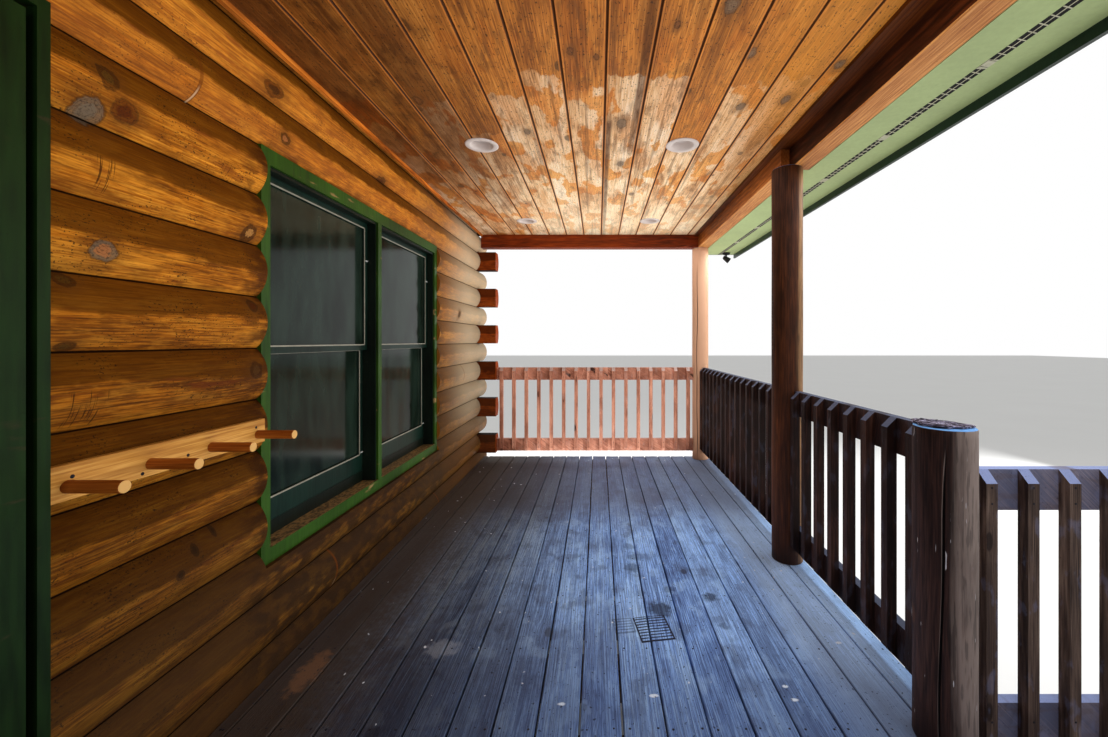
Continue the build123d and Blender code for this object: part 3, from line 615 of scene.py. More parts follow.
def rail_finish(name, level_axis, side_axis, middle, split, colours, level_grey=0.0):
    """Railing wood: the rails' grain runs level and the balusters' upright; tops are bleached grey by weathering
    and tinted by painted sky light.

    The balusters lie nearer than the split distance to the middle, and the rails farther out.
    """
    finish = Finish(name)
    place = dict(zip("xyz", finish.place()))
    side = abs(place[side_axis] - middle)
    upright = side.rise(split + 0.0005, split - 0.0005)
    lying = 1.0 - upright
    level, height = place[level_axis], place["z"]
    along = height * upright + level * lying
    across = level * upright + height * lying
    pale, main, dark, grey = colours
    shift = (level / 0.07).floor() * upright * 0.31
    grain = wood(finish, along, across * 1.6, side * 0.5 + 0.02, shift, 0.006, 0.30, 0.4, 0.012)
    cloud_place = finish.vector(place["x"] * 2.0, place["y"] * 2.0, height)
    cloud = finish.noise(cloud_place, 3.3, 5.0)
    bleached = finish.noise(cloud_place, 11.0, 4.0)
    stained = finish.noise((level * 9.0, height * 30.0, side), detail=4.0)
    colour = finish.coats(
        wood_colour(finish, grain, pale, main, dark, paint(30, 18, 14), 0.45),
        (cloud.rise(0.54, 0.40) * 0.50, dark),
        # the lying rails and the faces that look up take the grey colour: weathering, with painted sky light in its
        # blue
        (lying * level_grey, grey),
        (finish.facing()[2].rise(0.35, 0.65) * 0.85, grey),
        (bleached.rise(0.56, 0.66) * 0.16, grey),
        (lying * stained.rise(0.52, 0.62) * 0.60, main),
        (finish.specks(cloud_place, 140.0, 0.12) * 0.5, paint(22, 14, 10)),
    )
    return finish.close(colour, 0.68, grain.fibre, 0.0016)


def post_finish(name, colours, ground, drips, open_angle):
    """Peeled round wood: long streaks and knots, a check painted near-black as shade in the crack, paler on the
    open side by weathering and by painted light, paler at the far end by painted sunlight, and a top tinted blue as
    a painted sky reflection.
    """
    finish = Finish(name)
    x, y, z = finish.place()
    turned_x, turned_y, turned_z = finish.facing()
    pale, main, dark, open_side = colours
    grain = wood(finish, z, x + y * 0.7, x * 0.7 - y, 0.7, 0.012, 0.30, 0.6, 0.02)
    long_streak = finish.noise((x * 60.0, y * 60.0, z * 1.4), detail=3.0)
    marred = finish.noise((x * 70.0, y * 70.0, z * 8.0), detail=3.0)
    cloud = finish.noise((x * 9.0, y * 9.0, z * 2.0), detail=4.0)
    white = finish.noise((x * 120.0, y * 120.0, z * 14.0), detail=1.0)
    openness = turned_x * cos(radians(open_angle)) + turned_y * sin(radians(open_angle))
    # painted sky reflection: faces that look up take pale blue end-grain rings
    cut_rings = (((x - x_post) ** 2.0 + (y - newel_y) ** 2.0) ** 0.5 / 0.006).fraction().rise(0.3, 0.9)
    cut_colour = finish.mix(cut_rings * 0.5, paint(106, 158, 216), paint(76, 102, 138))
    check = finish.mark("check")
    colour = finish.coats(
        wood_colour(finish, grain, pale, main, dark, paint(60, 36, 24), 0.35),
        (long_streak.rise(0.50, 0.66) * 0.5, dark),
        # paler on the side towards the open side: partly weathering, partly painted light from there
        ((openness + (long_streak - 0.5) * 0.9).rise(0.16, 0.62) * 0.80, open_side),
        (marred.rise(0.53, 0.64) * 0.45, dark),
        (marred.rise(0.44, 0.36) * 0.25, pale),
        (cloud.rise(0.50, 0.68) * 0.5, dark),
        (z.rise(ground + 0.20, ground + 0.02) * 0.35, paint(56, 38, 28)),
        # painted light: paler towards the far end, where the far post stands in sun
        (y.rise(1.6, 2.6) * 0.75, paint(204, 156, 124)),
        (white.rise(0.735, 0.765) * drips, paint(196, 194, 200)),
        (turned_z.rise(0.6, 0.9), cut_colour),
        # painted shade: the check is near-black inside
        (check.rise(0.08, 0.45), paint(8, 4, 4)),
    )
    return finish.close(colour, 0.55 + 0.2 * long_streak, grain.fibre * 0.6 + long_streak * 0.6 - check, 0.0014)


def painted_finish(name, coat, worn, wear, rough, sill=None):
    """Paint brushed on wood: fibres show through it, and it is rubbed to the wood in places.

    Where a sill's height is given, faces that look up near it are worn bare.
    """
    finish = Finish(name)
    x, y, z = finish.place()
    point = finish.vector(x, y, z)
    brush = finish.noise((x * 90.0, y * 60.0, z * 7.0), detail=3.0)
    cloud = finish.noise(point, 2.6, 4.0)
    rubbed = finish.noise((x * 22.0, y * 5.0, z * 22.0), detail=4.0)
    deep = toned(coat, 0.50)
    colour = finish.ramp(brush * 0.4 + cloud * 0.6, [(0.36, deep), (0.50, coat), (0.66, toned(coat, 1.50))])
    colour = finish.mix(rubbed.rise(0.66 - wear * 0.2, 0.72) * 0.8, colour, worn)
    if sill is not None:
        bare = finish.facing()[2].rise(0.5, 0.8) * z.rise(sill + 0.05, sill + 0.02)
        colour = finish.mix(bare * 0.92, colour, finish.mix(brush.rise(0.40, 0.62), worn, paint(58, 44, 30)))
    colour = finish.mix(finish.specks(point, 150.0, 0.11) * 0.5, colour, deep)
    return finish.close(colour, rough, brush + cloud * 0.4, 0.0006)


def plain_finish(name, colour, rough, spread=0.25, scale=9.0, relief=0.0004, **constants):
    """An even material whose tone and gloss vary a little in noise of two sizes."""
    finish = Finish(name, **constants)
    point = finish.vector(*finish.place())
    cloud = finish.noise(point, scale, 4.0)
    fine = finish.noise(point, scale * 22)
    stops = [(0.38, toned(colour, 1 - spread)), (0.50, colour), (0.62, toned(colour, 1 + spread))]
    tint = finish.ramp(cloud * 0.7 + fine * 0.3, stops)
    return finish.close(tint, rough + (cloud - 0.5) * 0.2, fine + cloud, relief)


def block_finish():
    """Laid concrete blocks 0.40 by 0.20 m in a running bond, with mortar lines 10 mm wide, grimy below."""
    finish = Finish("concrete_blocks")
    x, y, z = finish.place()
    point = finish.vector(x, y, z)
    sideways = abs(finish.facing()[0]).rise(0.4, 0.6)
    level = z / 0.20
    run = (y * sideways + x * (1.0 - sideways)) / 0.40 + level.floor() * 0.5
    upright_lines = abs(run.fraction() - 0.5).rise(0.486, 0.492)
    level_lines = abs(level.fraction() - 0.5).rise(0.472, 0.482)
    mortar = finish.math("MINIMUM", upright_lines + level_lines, 1.0)
    coarse = finish.noise(point, 5.0, 4.0)
    grit = finish.noise(point, 260.0)
    low, main, high = paints((128, 126, 120), (152, 150, 143), (176, 174, 166))
    colour = finish.coats(
        finish.ramp(coarse * 0.6 + grit * 0.4, [(0.38, low), (0.5, main), (0.62, high)]),
        (mortar * 0.6, paint(112, 110, 104)),
        (z.rise(0.20, 0.0) * coarse.rise(0.35, 0.6) * 0.6, paint(92, 84, 70)),
    )
    return finish.close(colour, 0.88, grit * 0.5 - mortar * 2.0, 0.004)


def shingle_finish():
    """Charcoal roofing grit, each tab of its own tone."""
    finish = Finish("roof_grit")
    tone = finish.mark("tone")
    point = finish.vector(*finish.place())
    grit = finish.noise(point, 420.0)
    cloud = finish.noise(point, 1.2, 3.0)
    low, main, high = paints((44, 45, 47), (74, 75, 77), (104, 103, 100))
    value = tone * 0.35 + grit * 0.45 + cloud * 0.2
    return finish.close(finish.ramp(value, [(0.25, low), (0.5, main), (0.75, high)]), 0.9, grit, 0.0015)


bark_turn = radians(-35)


def bark_finish():
    """Weathered bark: ridges along the flake, from near-black cracks to pale crests."""
    finish = Finish("grey_bark")
    x, y, z = finish.place()
    along = x * cos(bark_turn) + y * sin(bark_turn)
    across = y * cos(bark_turn) - x * sin(bark_turn)
    ridge = finish.noise((along * 28.0, across * 150.0, z * 300.0), detail=4.0)
    crack, main, crest = paints((26, 22, 26), (78, 70, 82), (158, 150, 170))
    return finish.close(finish.ramp(ridge, [(0.38, crack), (0.50, main), (0.62, crest)]), 0.9, ridge, 0.006)


def glass_finish():
    """Window glass painted near-black as the shade of the room behind it, its gloss dulled a little by a dusty
    film.
    """
    finish = Finish("shaded_dark_glass", Specular_IOR_Level=0.16)
    x, y, z = finish.place()
    dust_and_shade = finish.noise((x, y * 3.0, z), 3.0, 4.0)
    colour = finish.ramp(dust_and_shade, [(0.35, paint(10, 18, 12)), (0.65, paint(28, 40, 32))])
    return finish.close(colour, 0.06 + dust_and_shade * 0.10)


def pine_finish(name, axis, colours):
    """Fresh pale pine with thin brown rings, along one axis; along x, the cut ends are the palest."""
    finish = Finish(name)
    place = dict(zip("xyz", finish.place()))
    across, depth = [place[other] for other in "xyz" if other != axis]
    height = depth - rack_low[2] - 0.02
    grain = wood(finish, place[axis], height, across * 0.2 + 0.03, 0.3, 0.007, 0.3, 0.3, 0.012)
    colour = wood_colour(finish, grain, *colours, 0.35)
    if axis == "x":
        colour = finish.mix(abs(finish.facing()[0]).rise(0.7, 0.95) * 0.9, colour, paint(196, 152, 88))
    return finish.close(colour, 0.5, grain.fibre, 0.0004)


def make_piece(name, shapes, material, replaced=(), smooth=False):
    """One mesh from several shapes, their points and faces set one after another, riding on the building."""
    faces, start = [], 0
    for shape in shapes:
        for group in shape.groups:
            faces.extend((group + start).tolist())
        start += len(shape.points)
    mesh = bpy.data.meshes.new(name)
    mesh.from_pydata(np.concatenate([shape.points for shape in shapes]).tolist(), [], faces)
    for mark in shapes[0].marks:
        values = np.concatenate([shape.marks[mark] for shape in shapes]).astype(np.float32)
        mesh.attributes.new(mark, "FLOAT", "POINT").data.foreach_set("value", values)
    mesh.polygons.foreach_set("use_smooth", np.full(len(mesh.polygons), smooth))
    mesh.materials.append(material)
    mesh.update()
    piece = bpy.data.objects.new(name, mesh)
    bpy.context.scene.collection.objects.link(piece)
    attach(piece, "root")
    if replaced:
        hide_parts(*replaced)


def tube_faces(count, levels, size):
    """Faces of closed tubes, each of them levels rings of size points: the sides, then the two ends."""
    here = np.arange(size)
    there = (here + 1) % size
    tubes = np.arange(count)[:, None] * levels * size
    rows = tubes[..., None] + np.arange(levels - 1)[:, None] * size
    sides = np.stack([rows + here, rows + there, rows + there + size, rows + here + size], -1)
    return [sides.reshape(-1, 4), tubes + here[::-1], tubes + (levels - 1) * size + here]


def tone_marks(tones, count, size):
    """The tone of each piece, kept with each of its points; 0.5 where none is given."""
    return {"tone": np.repeat(np.full(count, 0.5) if tones is None else np.asarray(tones, float), size)}


def prisms(outlines, start, end, axis, tones=None, stations=2, sway=None):
    """Straight bars, each closed at both ends with one face.

    Bar i carries its outline, listed anticlockwise in the plane across the axis, from start to end:
    point (i, m, k) = outline[i, k] + sway[i, m] across the axis, start + (end - start) m / (stations - 1)
    along it.
    """
    outlines = np.asarray(outlines, float)
    count, size = outlines.shape[:2]

    def per_point(value):
        value = np.asarray(value, float)
        return np.broadcast_to(value.reshape(value.shape + (1,) * (2 - value.ndim)), (count, size))

    start, end = per_point(start)[:, None], per_point(end)[:, None]
    along = start + (end - start) * np.linspace(0, 1, stations)[None, :, None]
    across = outlines[:, None] + (np.zeros((1, 1, 1, 2)) if sway is None else sway[:, :, None])
    first, second, third = {"x": (1, 2, 0), "y": (0, 2, 1), "z": (0, 1, 2)}[axis]
    points = np.empty((count, stations, size, 3))
    points[..., first], points[..., second] = across[..., 0], across[..., 1]
    points[..., third] = along
    groups = tube_faces(count, stations, size)
    if axis == "y":
        groups = [group[:, ::-1] for group in groups]
    return Shape(points.reshape(-1, 3), groups, tone_marks(tones, count, stations * size))


def eased(first_low, first_high, second_low, second_high, ease):
    """Outlines of rectangles between places in two directions, with each corner cut off by ease."""
    places = first_low, first_high, second_low, second_high
    x0, x1, y0, y1 = np.broadcast_arrays(*(np.atleast_1d(np.asarray(place, float)) for place in places))
    corner_points = [
        (x0 + ease, y0), (x1 - ease, y0), (x1, y0 + ease), (x1, y1 - ease),
        (x1 - ease, y1), (x0 + ease, y1), (x0, y1 - ease), (x0, y0 + ease),
    ]
    return np.stack([np.stack(pair, -1) for pair in corner_points], 1)


def plank_outlines(low_x, high_x, low_z, high_z, ease, cup):
    """Outlines of flat planks whose top sinks in the middle: z = top - cup (1 - (2 s - 1)^2), s from 0 to 1."""
    s = np.linspace(0, 1, 7)
    low_x, high_x = np.asarray(low_x)[:, None], np.asarray(high_x)[:, None]
    top_x = high_x - ease - (high_x - low_x - 2 * ease) * s
    top_z = np.broadcast_to(high_z - cup * (1 - (2 * s - 1) ** 2), top_x.shape)
    side = np.full_like(low_x, 1.0)
    x = np.hstack([low_x, high_x, high_x, top_x, low_x])
    z = np.hstack([side * low_z, side * low_z, side * (high_z - ease), top_z, side * (high_z - ease)])
    return np.stack([x, z], -1)


def wander(count, stations, reach):
    """A slow drift across two directions: reach times sin(2 pi (1.7 t + a)) + 0.5 sin(2 pi (5.3 t + b))."""
    t = np.linspace(0, 1, stations)[None, :, None]
    phase = chance_draw.random((2, count, 1, 2))
    return reach * (np.sin(2 * pi * (1.7 * t + phase[0])) + 0.5 * np.sin(2 * pi * (5.3 * t + phase[1])))


def turned(profile, centres, axis, segments):
    """Round pieces: (radius r, height h) of the profile gives the circle centre + axis h + r (u cos a + v sin a).

    The profile runs from the bottom, out and up to the top, and its first and last circles are closed.
    """
    profile, centres, axis = (np.asarray(item, float) for item in (profile, centres, axis))
    axis = axis / np.linalg.norm(axis)
    helper = np.array([0.0, 1.0, 0.0] if abs(axis[0]) > 0.9 else [1.0, 0.0, 0.0])
    u = np.cross(helper, axis)
    u = u / np.linalg.norm(u)
    v = np.cross(axis, u)
    angle = np.linspace(0, 2 * pi, segments, endpoint=False)[:, None]
    circle = np.cos(angle) * u + np.sin(angle) * v
    rings = profile[:, None, :1] * circle + profile[:, None, 1:] * axis
    points = centres[:, None, None] + rings
    count, levels = len(centres), len(profile)
    groups = tube_faces(count, levels, segments)
    return Shape(points.reshape(-1, 3), groups, tone_marks(None, count, levels * segments))


def round_post(centre, low, high, check_angle, lean=0.0):
    """A peeled post with one drying check.

    Angle: u - 0.85 sin u from the check, so that the grid is closest there, and the check's own angle
    wanders and leans with the height. Radius: the post's, less up to 2.2 mm of slow waves, less the
    check's depth of 7 mm times exp(-(arc / 3 mm)^2) times how far it is open at that height.
    """
    segments, levels = 84, 48
    u = np.linspace(-pi, pi, segments, endpoint=False)[None, :]
    rise = np.concatenate([[0.0], np.linspace(0.004, high - low - 0.004, levels - 2), [high - low]])[:, None]
    phase = chance_draw.random(4) * 2 * pi
    t = rise / (high - low)
    drift = lean * (t - 0.5) + 0.04 * np.sin(4.1 * rise + phase[0]) + 0.03 * np.sin(9.0 * rise + phase[1])
    angle = u - 0.85 * np.sin(u)
    opened = np.clip(np.sin(pi * np.clip(t * 0.98 + 0.05, 0, 1)) * 1.6, 0, 1) * np.ones_like(u)
    check = np.exp(-((angle * post_radius / 0.0030) ** 2)) * opened
    long_waves = np.sin(3 * angle + phase[2] + 0.8 * rise)
    short_waves = np.sin(7.0 * rise + phase[3] + 2 * angle)
    waves = 0.5 + 0.25 * long_waves + 0.25 * short_waves
    radius = post_radius - 0.0022 * waves - 0.0070 * check
    radius[[0, -1]] -= 0.003
    direction = angle + check_angle + drift
    x = centre[0] + radius * np.cos(direction)
    y = centre[1] + radius * np.sin(direction)
    points = np.stack([x, y, low + rise + 0 * angle], -1)
    return Shape(points.reshape(-1, 3), tube_faces(1, levels, segments), {"check": check.reshape(-1)})


def bark_slab():
    """A rough flake of bark: rings at a share of the outline's reach, bottom side first, then top side.

    Reach at angle a: an ellipse, times 1 + 0.10 sin(3 a) + 0.05 sin(7 a) + noise. It is thicker towards
    one end, and the top side is rough.
    """
    segments = 48
    angle = np.linspace(0, 2 * pi, segments, endpoint=False)
    half_length, half_width = 0.079, 0.056
    reach = 1 + 0.10 * np.sin(3 * angle + 0.6) + 0.05 * np.sin(7 * angle)
    reach = reach + chance_draw.uniform(-0.03, 0.03, segments)
    shares = np.array([0.25, 0.65, 0.97, 1.02, 1.00, 0.90, 0.72, 0.52, 0.30])[:, None]
    heights = np.array([0.000, 0.000, 0.001, 0.008, 0.0115, 0.0130, 0.0135, 0.0138, 0.0138])[:, None]
    rough_share = np.array([0, 0, 0.3, 0.8, 1.2, 1.6, 1.6, 1.6, 1.2])[:, None]
    levels = len(shares)
    long_way = half_length * reach * np.cos(angle) * shares
    cross_way = half_width * reach * np.sin(angle) * shares
    rough = chance_draw.uniform(-1.0, 1.0, (levels, segments)) * rough_share * 0.0014
    height = heights * (0.92 - 0.25 * np.cos(angle) * shares) + rough + 0.0005
    x = (bark_low[0] + bark_high[0]) / 2 + long_way * cos(bark_turn) - cross_way * sin(bark_turn) - 0.008
    y = newel_y + long_way * sin(bark_turn) + cross_way * cos(bark_turn) + 0.004
    points = np.stack([x, y, bark_low[2] + height], -1)
    return Shape(points.reshape(-1, 3), tube_faces(1, levels, segments), {})


def dress(material, *names):
    """Gives CAD nodes a finish through their material slots."""
    for name in names:
        for holder in nodes[name].material_slots:
            holder.material = material


# Deck boards: gaps counted in from the outer edge, the last board ripped to fit at the wall
deck_pitch, deck_gap, deck_first = 0.1495, 0.0072, 0.604
plank_ease = 0.003
deck_edges = deck_first - deck_pitch * np.arange(17)
deck_edges = deck_edges[deck_edges > deck_low[0] + 0.02]
deck_ends = np.concatenate([[deck_high[0] + deck_gap / 2], deck_edges, [deck_low[0] - deck_gap / 2]])
soot, tan, chalk, white = paints((30, 38, 58), (124, 88, 62), (150, 154, 164), (206, 216, 230))
deck_stains = [
    (-0.219, -0.117, 0.075, 0.080, 0.80, soot), (-0.327, 0.294, 0.060, 0.070, 0.55, soot),
    (0.055, -0.013, 0.050, 0.050, 0.75, soot), (-0.150, 0.060, 0.040, 0.040, 0.50, soot),
    (-0.300, 0.420, 0.060, 0.060, 0.45, soot), (0.060, -0.250, 0.030, 0.030, 0.50, soot),
    (-0.330, 0.560, 0.050, 0.050, 0.40, soot), (-0.840, -0.900, 0.045, 0.045, 0.40, soot),
    (-1.690, -0.530, 0.060, 0.150, 0.55, tan), (-1.200, -0.400, 0.090, 0.070, 0.35, chalk),
    (-0.662, -0.695, 0.018, 0.010, 0.90, white), (-0.319, -0.656, 0.019, 0.010, 0.95, white),
    (0.201, -0.674, 0.017, 0.010, 0.95, white), (0.193, -0.612, 0.013, 0.009, 0.90, white),
    (0.532, -0.363, 0.018, 0.010, 0.85, white),
]
soot_grids = [(-0.272, -0.263, 0.080, 0.092, 1.0), (-0.408, -0.245, 0.050, 0.056, 0.50)]
weathered_sky_tinted_deck = deck_finish(deck_stains, soot_grids)


def planks(edges, gap, low, high, cup, stations, reach, lowered=0.0):
    """Planks along Y between the edges, a gap between each two, swaying a little along their length."""
    outlines = plank_outlines(edges[1:] + gap / 2, edges[:-1] - gap / 2, low[2], high[2], plank_ease, cup)
    outlines[..., 0] -= lowered
    count = len(edges) - 1
    tones = chance_draw.random(count)
    return prisms(outlines, low[1], high[1], "y", tones, stations, wander(count, stations, reach) * [1.0, 0.4])


def laid_boards(low, high, pitch, gap):
    """Planks that fill a box from its outer edge inwards."""
    edges = np.arange(high[0] + gap / 2, low[0] - gap / 2 + 1e-6, -pitch)
    edges = np.append(edges[edges > low[0] + 0.03], low[0] - gap / 2)
    return planks(edges, gap, low, high, 0.0010, 16, 0.0006, 0.0010)


deck_shape = planks(deck_ends, deck_gap, deck_low, deck_high, 0.0012, 36, 0.0009)
make_piece("deck_boards", [deck_shape], weathered_sky_tinted_deck, ["deck"])

# Landing and tread boards, laid the same way
landing_shape = laid_boards(landing_low, landing_high, 0.145, 0.006)
make_piece("landing_boards", [landing_shape], weathered_sky_tinted_deck, ["landing"])
step_run, step_rise, tread_thickness = 0.280, landing_high[2] / 3, 0.038
steps = []
for step in range(2):
    top = tread_high[2] - step * step_rise
    low = (tread_low[0] + step * step_run, tread_low[1], top - tread_thickness)
    high = (tread_low[0] + (step + 1) * step_run, tread_high[1], top)
    steps.append(laid_boards(low, high, 0.140, 0.006))
make_piece("tread_boards", steps, weathered_sky_tinted_deck, ["treads"])

# Two nails in each deck board over every joist
joist_count, joist_half = 15, 0.019
joist_lines = np.linspace(-deck_high[1] + joist_half, deck_high[1] - joist_half, joist_count)
board_middles = (deck_ends[1:] + deck_ends[:-1]) / 2
nail_reach = np.minimum((deck_ends[:-1] - deck_ends[1:]) / 2 - 0.022, 0.048)
nail_x = np.concatenate([board_middles - nail_reach, board_middles + nail_reach])
nail_grid = np.stack(np.meshgrid(nail_x, joist_lines), -1).reshape(-1, 2)
nail_grid = nail_grid + chance_draw.uniform(-0.004, 0.004, nail_grid.shape)
nail_grid[:, 1] = np.clip(nail_grid[:, 1], deck_low[1] + 0.008, deck_high[1] - 0.008)
nail_points = np.column_stack([nail_grid, np.full(len(nail_grid), deck_high[2] - 0.0016)])
rusty = plain_finish("rusty_nail", paint(40, 38, 44), 0.6, 0.4, 60.0, Metallic=0.6)
nail_head = [(0.0044, 0.0), (0.0044, 0.0011), (0.0024, 0.0014)]
make_piece("deck_nails", [turned(nail_head, nail_points, (0, 0, 1), 7)], rusty)

# Ceiling boards with V grooves, cut round the lights
ceiling_pitch, ceiling_first = 0.1937, -0.494
groove, cut_clearance, joint_clearance = 0.0060, 0.00005, 0.0001
flange_radius, hole = 0.100, 0.070
light_x = np.array([light_low[0] + flange_radius, light_high[0] - flange_radius])
light_y = np.linspace(light_low[1] + flange_radius, light_high[1] - flange_radius, 3)
board_edges = ceiling_first + ceiling_pitch * np.arange(-8, 8)
board_edges = board_edges[(board_edges > ceiling_low[0] + 0.01) & (board_edges < ceiling_high[0] - 0.02)]
board_edges = np.concatenate([[ceiling_low[0]], board_edges, [ceiling_high[0]]])
cuts = np.sort(np.concatenate([board_edges, light_x - hole, light_x + hole]))
tone_of_board = chance_draw.random(len(board_edges))
outlines, starts, ends, tones = [], [], [], []
for left, right in zip(cuts, cuts[1:]):
    middle = (left + right) / 2
    left_cut = groove if left in board_edges else cut_clearance
    right_cut = groove if right in board_edges else cut_clearance
    outline = [
        (left + left_cut, ceiling_low[2]), (right - right_cut, ceiling_low[2]),
        (right - joint_clearance, ceiling_low[2] + right_cut), (right - joint_clearance, ceiling_high[2]),
        (left + joint_clearance, ceiling_high[2]), (left + joint_clearance, ceiling_low[2] + left_cut),
    ]
    holes = light_y if np.any(np.abs(light_x - middle) < hole) else np.array([])
    hole_ends = np.sort(np.concatenate([holes - hole, holes + hole]))
    stretches = np.concatenate([[ceiling_low[1]], hole_ends, [ceiling_high[1]]]).reshape(-1, 2)
    for low_y, high_y in stretches:
        outlines.append(outline)
        starts.append(low_y)
        ends.append(high_y)
        tones.append(tone_of_board[np.searchsorted(board_edges, middle) - 1])
grey_knot = paints((104, 88, 70), (134, 104, 76))
brown_knot = paints((96, 54, 24), (128, 78, 40))
ceiling_knots = [
    (x, y, reach * 0.85, reach * 1.60, *pair) for x, y, reach, pair in (
        (-0.401, 0.116, 0.032, grey_knot), (-0.379, 0.668, 0.026, grey_knot), (-0.642, -0.494, 0.016, brown_knot),
        (-0.535, -0.458, 0.014, brown_knot), (-0.052, -0.750, 0.030, grey_knot), (0.107, -0.481, 0.022, grey_knot),
        (0.195, -0.062, 0.024, grey_knot), (0.512, -0.407, 0.022, grey_knot), (0.396, -0.128, 0.024, grey_knot),
        (-0.229, -0.650, 0.014, brown_knot), (-0.930, 0.210, 0.022, grey_knot), (-1.420, -0.120, 0.024, brown_knot),
    )
]
ceiling_shape = prisms(outlines, starts, ends, "y", tones)
make_piece("ceiling_boards", [ceiling_shape], ceiling_finish(ceiling_knots), ["ceiling"])

# Recessed lights: a rounded flange, a white cone and a frosted lens
white_metal = plain_finish("white_enamel", paint(208, 193, 184), 0.35, 0.04, 6.0, 0.0001)
light_profile = [
    (0.012, 0.046), (0.048, 0.044), (0.050, 0.040), (0.066, 0.006), (0.070, 0.0012), (0.074, 0.0), (0.092, 0.0),
    (0.098, 0.0014), (0.0998, 0.0034), (0.0998, 0.0049), (0.0695, 0.0050), (0.0660, 0.020), (0.054, 0.050),
    (0.012, 0.053),
]
light_places = [(x, y, light_low[2]) for x in light_x for y in light_y]
light_shape = turned(light_profile, light_places, (0, 0, 1), 48)
make_piece("light_trims", [light_shape], white_metal, ["recessed_lights"], True)

# Round posts and newels
tall_shapes = [
    round_post((x_post, y), post_low[2], post_high[2], check_angle, lean)
    for y, check_angle, lean in ((-y_post, 2.4, 0.20), (middle_post_y, -0.5, 0.0), (y_post, -2.2, 0.0))
]
tall_colours = paints((82, 41, 16), (51, 23, 8), (22, 9, 3), (140, 104, 70))
stained_post = post_finish("stained_post", tall_colours, deck_high[2], 0.0, 5)
make_piece("round_posts", tall_shapes, stained_post, ["tall_posts"], True)
newel_rise = newel_high[2] - deck_high[2]
newel_shapes = [
    round_post((x, y), low, low + newel_rise, check_angle, lean)
    for x, y, low, check_angle, lean in (
        (x_post, newel_y, deck_high[2], -2.27, 0.29), (x_landing_post, newel_y, landing_high[2], 0.4, 0.0),
        (x_landing_post, -y_post, landing_high[2], 1.9, 0.0),
    )
]
newel_colours = paints((58, 36, 30), (34, 20, 17), (13, 7, 7), (138, 122, 114))
weathered_newel = post_finish("weathered_newel", newel_colours, deck_high[2], 0.8, -38)
make_piece("round_newels", newel_shapes, weathered_newel, ["short_newels"], True)
make_piece("bark_flake", [bark_slab()], bark_finish(), ["bark_slab"])

# Beams with worn edges
beam_ease = 0.005
beam_width = far_beam_high[0] - far_beam_low[0]


def long_beam(low, high):
    """A beam along Y that wanders by half a millimetre or so inside its CAD box."""
    outline = eased(low[0], high[0], low[2], high[2], beam_ease)
    return prisms(outline, low[1], high[1], "y", None, 14, wander(1, 14, 0.0006) - 0.0009)


lit_underside_colours = paints((220, 160, 96), (188, 124, 64), (136, 74, 32), (100, 58, 28))
# painted shade: the near length of the beam takes a much darker copy of the far length's colours
shaded_near_colours = paints((88, 40, 16), (58, 24, 9), (28, 10, 4), (18, 8, 3))
far_colours = paints((176, 104, 44), (140, 74, 26), (78, 36, 10), (50, 24, 10))
cross_colours = paints((150, 62, 14), (122, 44, 8), (70, 22, 4), (44, 14, 4))
shaded_near_beam_wood = board_finish(
    "shaded_dark_beam", "y", shaded_near_colours, 0.011, 0.7, 0.55, 0.45, (30, 12, 5), lit_underside_colours
)
far_beam_wood = board_finish(
    "orange_beam", "y", far_colours, 0.011, 0.7, 0.55, 0.40, (100, 50, 18), lit_underside_colours
)
cross_beam_wood = board_finish("red_beam", "x", cross_colours, 0.011, 0.7, 0.55, 0.30, (84, 30, 8))
make_piece(
    "beam_far_length", [long_beam(far_beam_low, far_beam_high)], far_beam_wood, ["long_beam_far"]
)
make_piece(
    "beam_near_length", [long_beam(near_beam_low, near_beam_high)], shaded_near_beam_wood, ["long_beam_near"]
)
end_beams = [
    prisms(eased(low_y, low_y + beam_width, cross_low[2], cross_high[2], beam_ease), cross_low[0], x_to, "x")
    for low_y, x_to in ((cross_high[1] - beam_width, far_beam_low[0]), (cross_low[1], near_beam_low[0]))
]
make_piece("end_beams", end_beams, cross_beam_wood, ["cross_beams"])

# Shingles: courses up the slope, every second one shifted by half a tab, over a thin backing
tab_width, tab_gap, exposure, lap = 0.305, 0.005, 0.143, 0.020
slope_run = exposure * roof_cosine
roof_top = roof_line(0.0) + roof_board / roof_cosine


def above_roof(x, rise):
    """The point at x that lies above the roof boards by a rise."""
    return x, roof_top - x * roof_slope + rise


shingle_outlines, shingle_starts, shingle_ends = [], [], []
for number, lower_x in enumerate(np.arange(cover_high[0], cover_low[0] + 0.02, -slope_run)):
    upper_x = max(lower_x - slope_run - lap, cover_low[0])
    outline = [
        above_roof(lower_x, 0.0040), above_roof(lower_x, 0.0095), above_roof(upper_x, 0.0045),
        above_roof(upper_x, 0.0002),
    ]
    for edge in np.arange(cover_low[1] - (number % 2) * tab_width / 2, cover_high[1], tab_width):
        low_y, high_y = max(edge, cover_low[1]), min(edge + tab_width - tab_gap, cover_high[1])
        if high_y - low_y > 0.03:
            shingle_outlines.append(outline)
            shingle_starts.append(low_y)
            shingle_ends.append(high_y)
tab_tones = chance_draw.random(len(shingle_starts))
backing_high_x = cover_high[0] - 0.003
backing = [[
    above_roof(backing_high_x, 0.0002), above_roof(backing_high_x, 0.0040), above_roof(cover_low[0], 0.0040),
    above_roof(cover_low[0], 0.0002),
]]
roof_pieces = [
    prisms(shingle_outlines, shingle_starts, shingle_ends, "y", tab_tones),
    prisms(backing, cover_low[1], cover_high[1], "y"),
]
make_piece("shingle_courses", roof_pieces, shingle_finish(), ["roof_covering"])

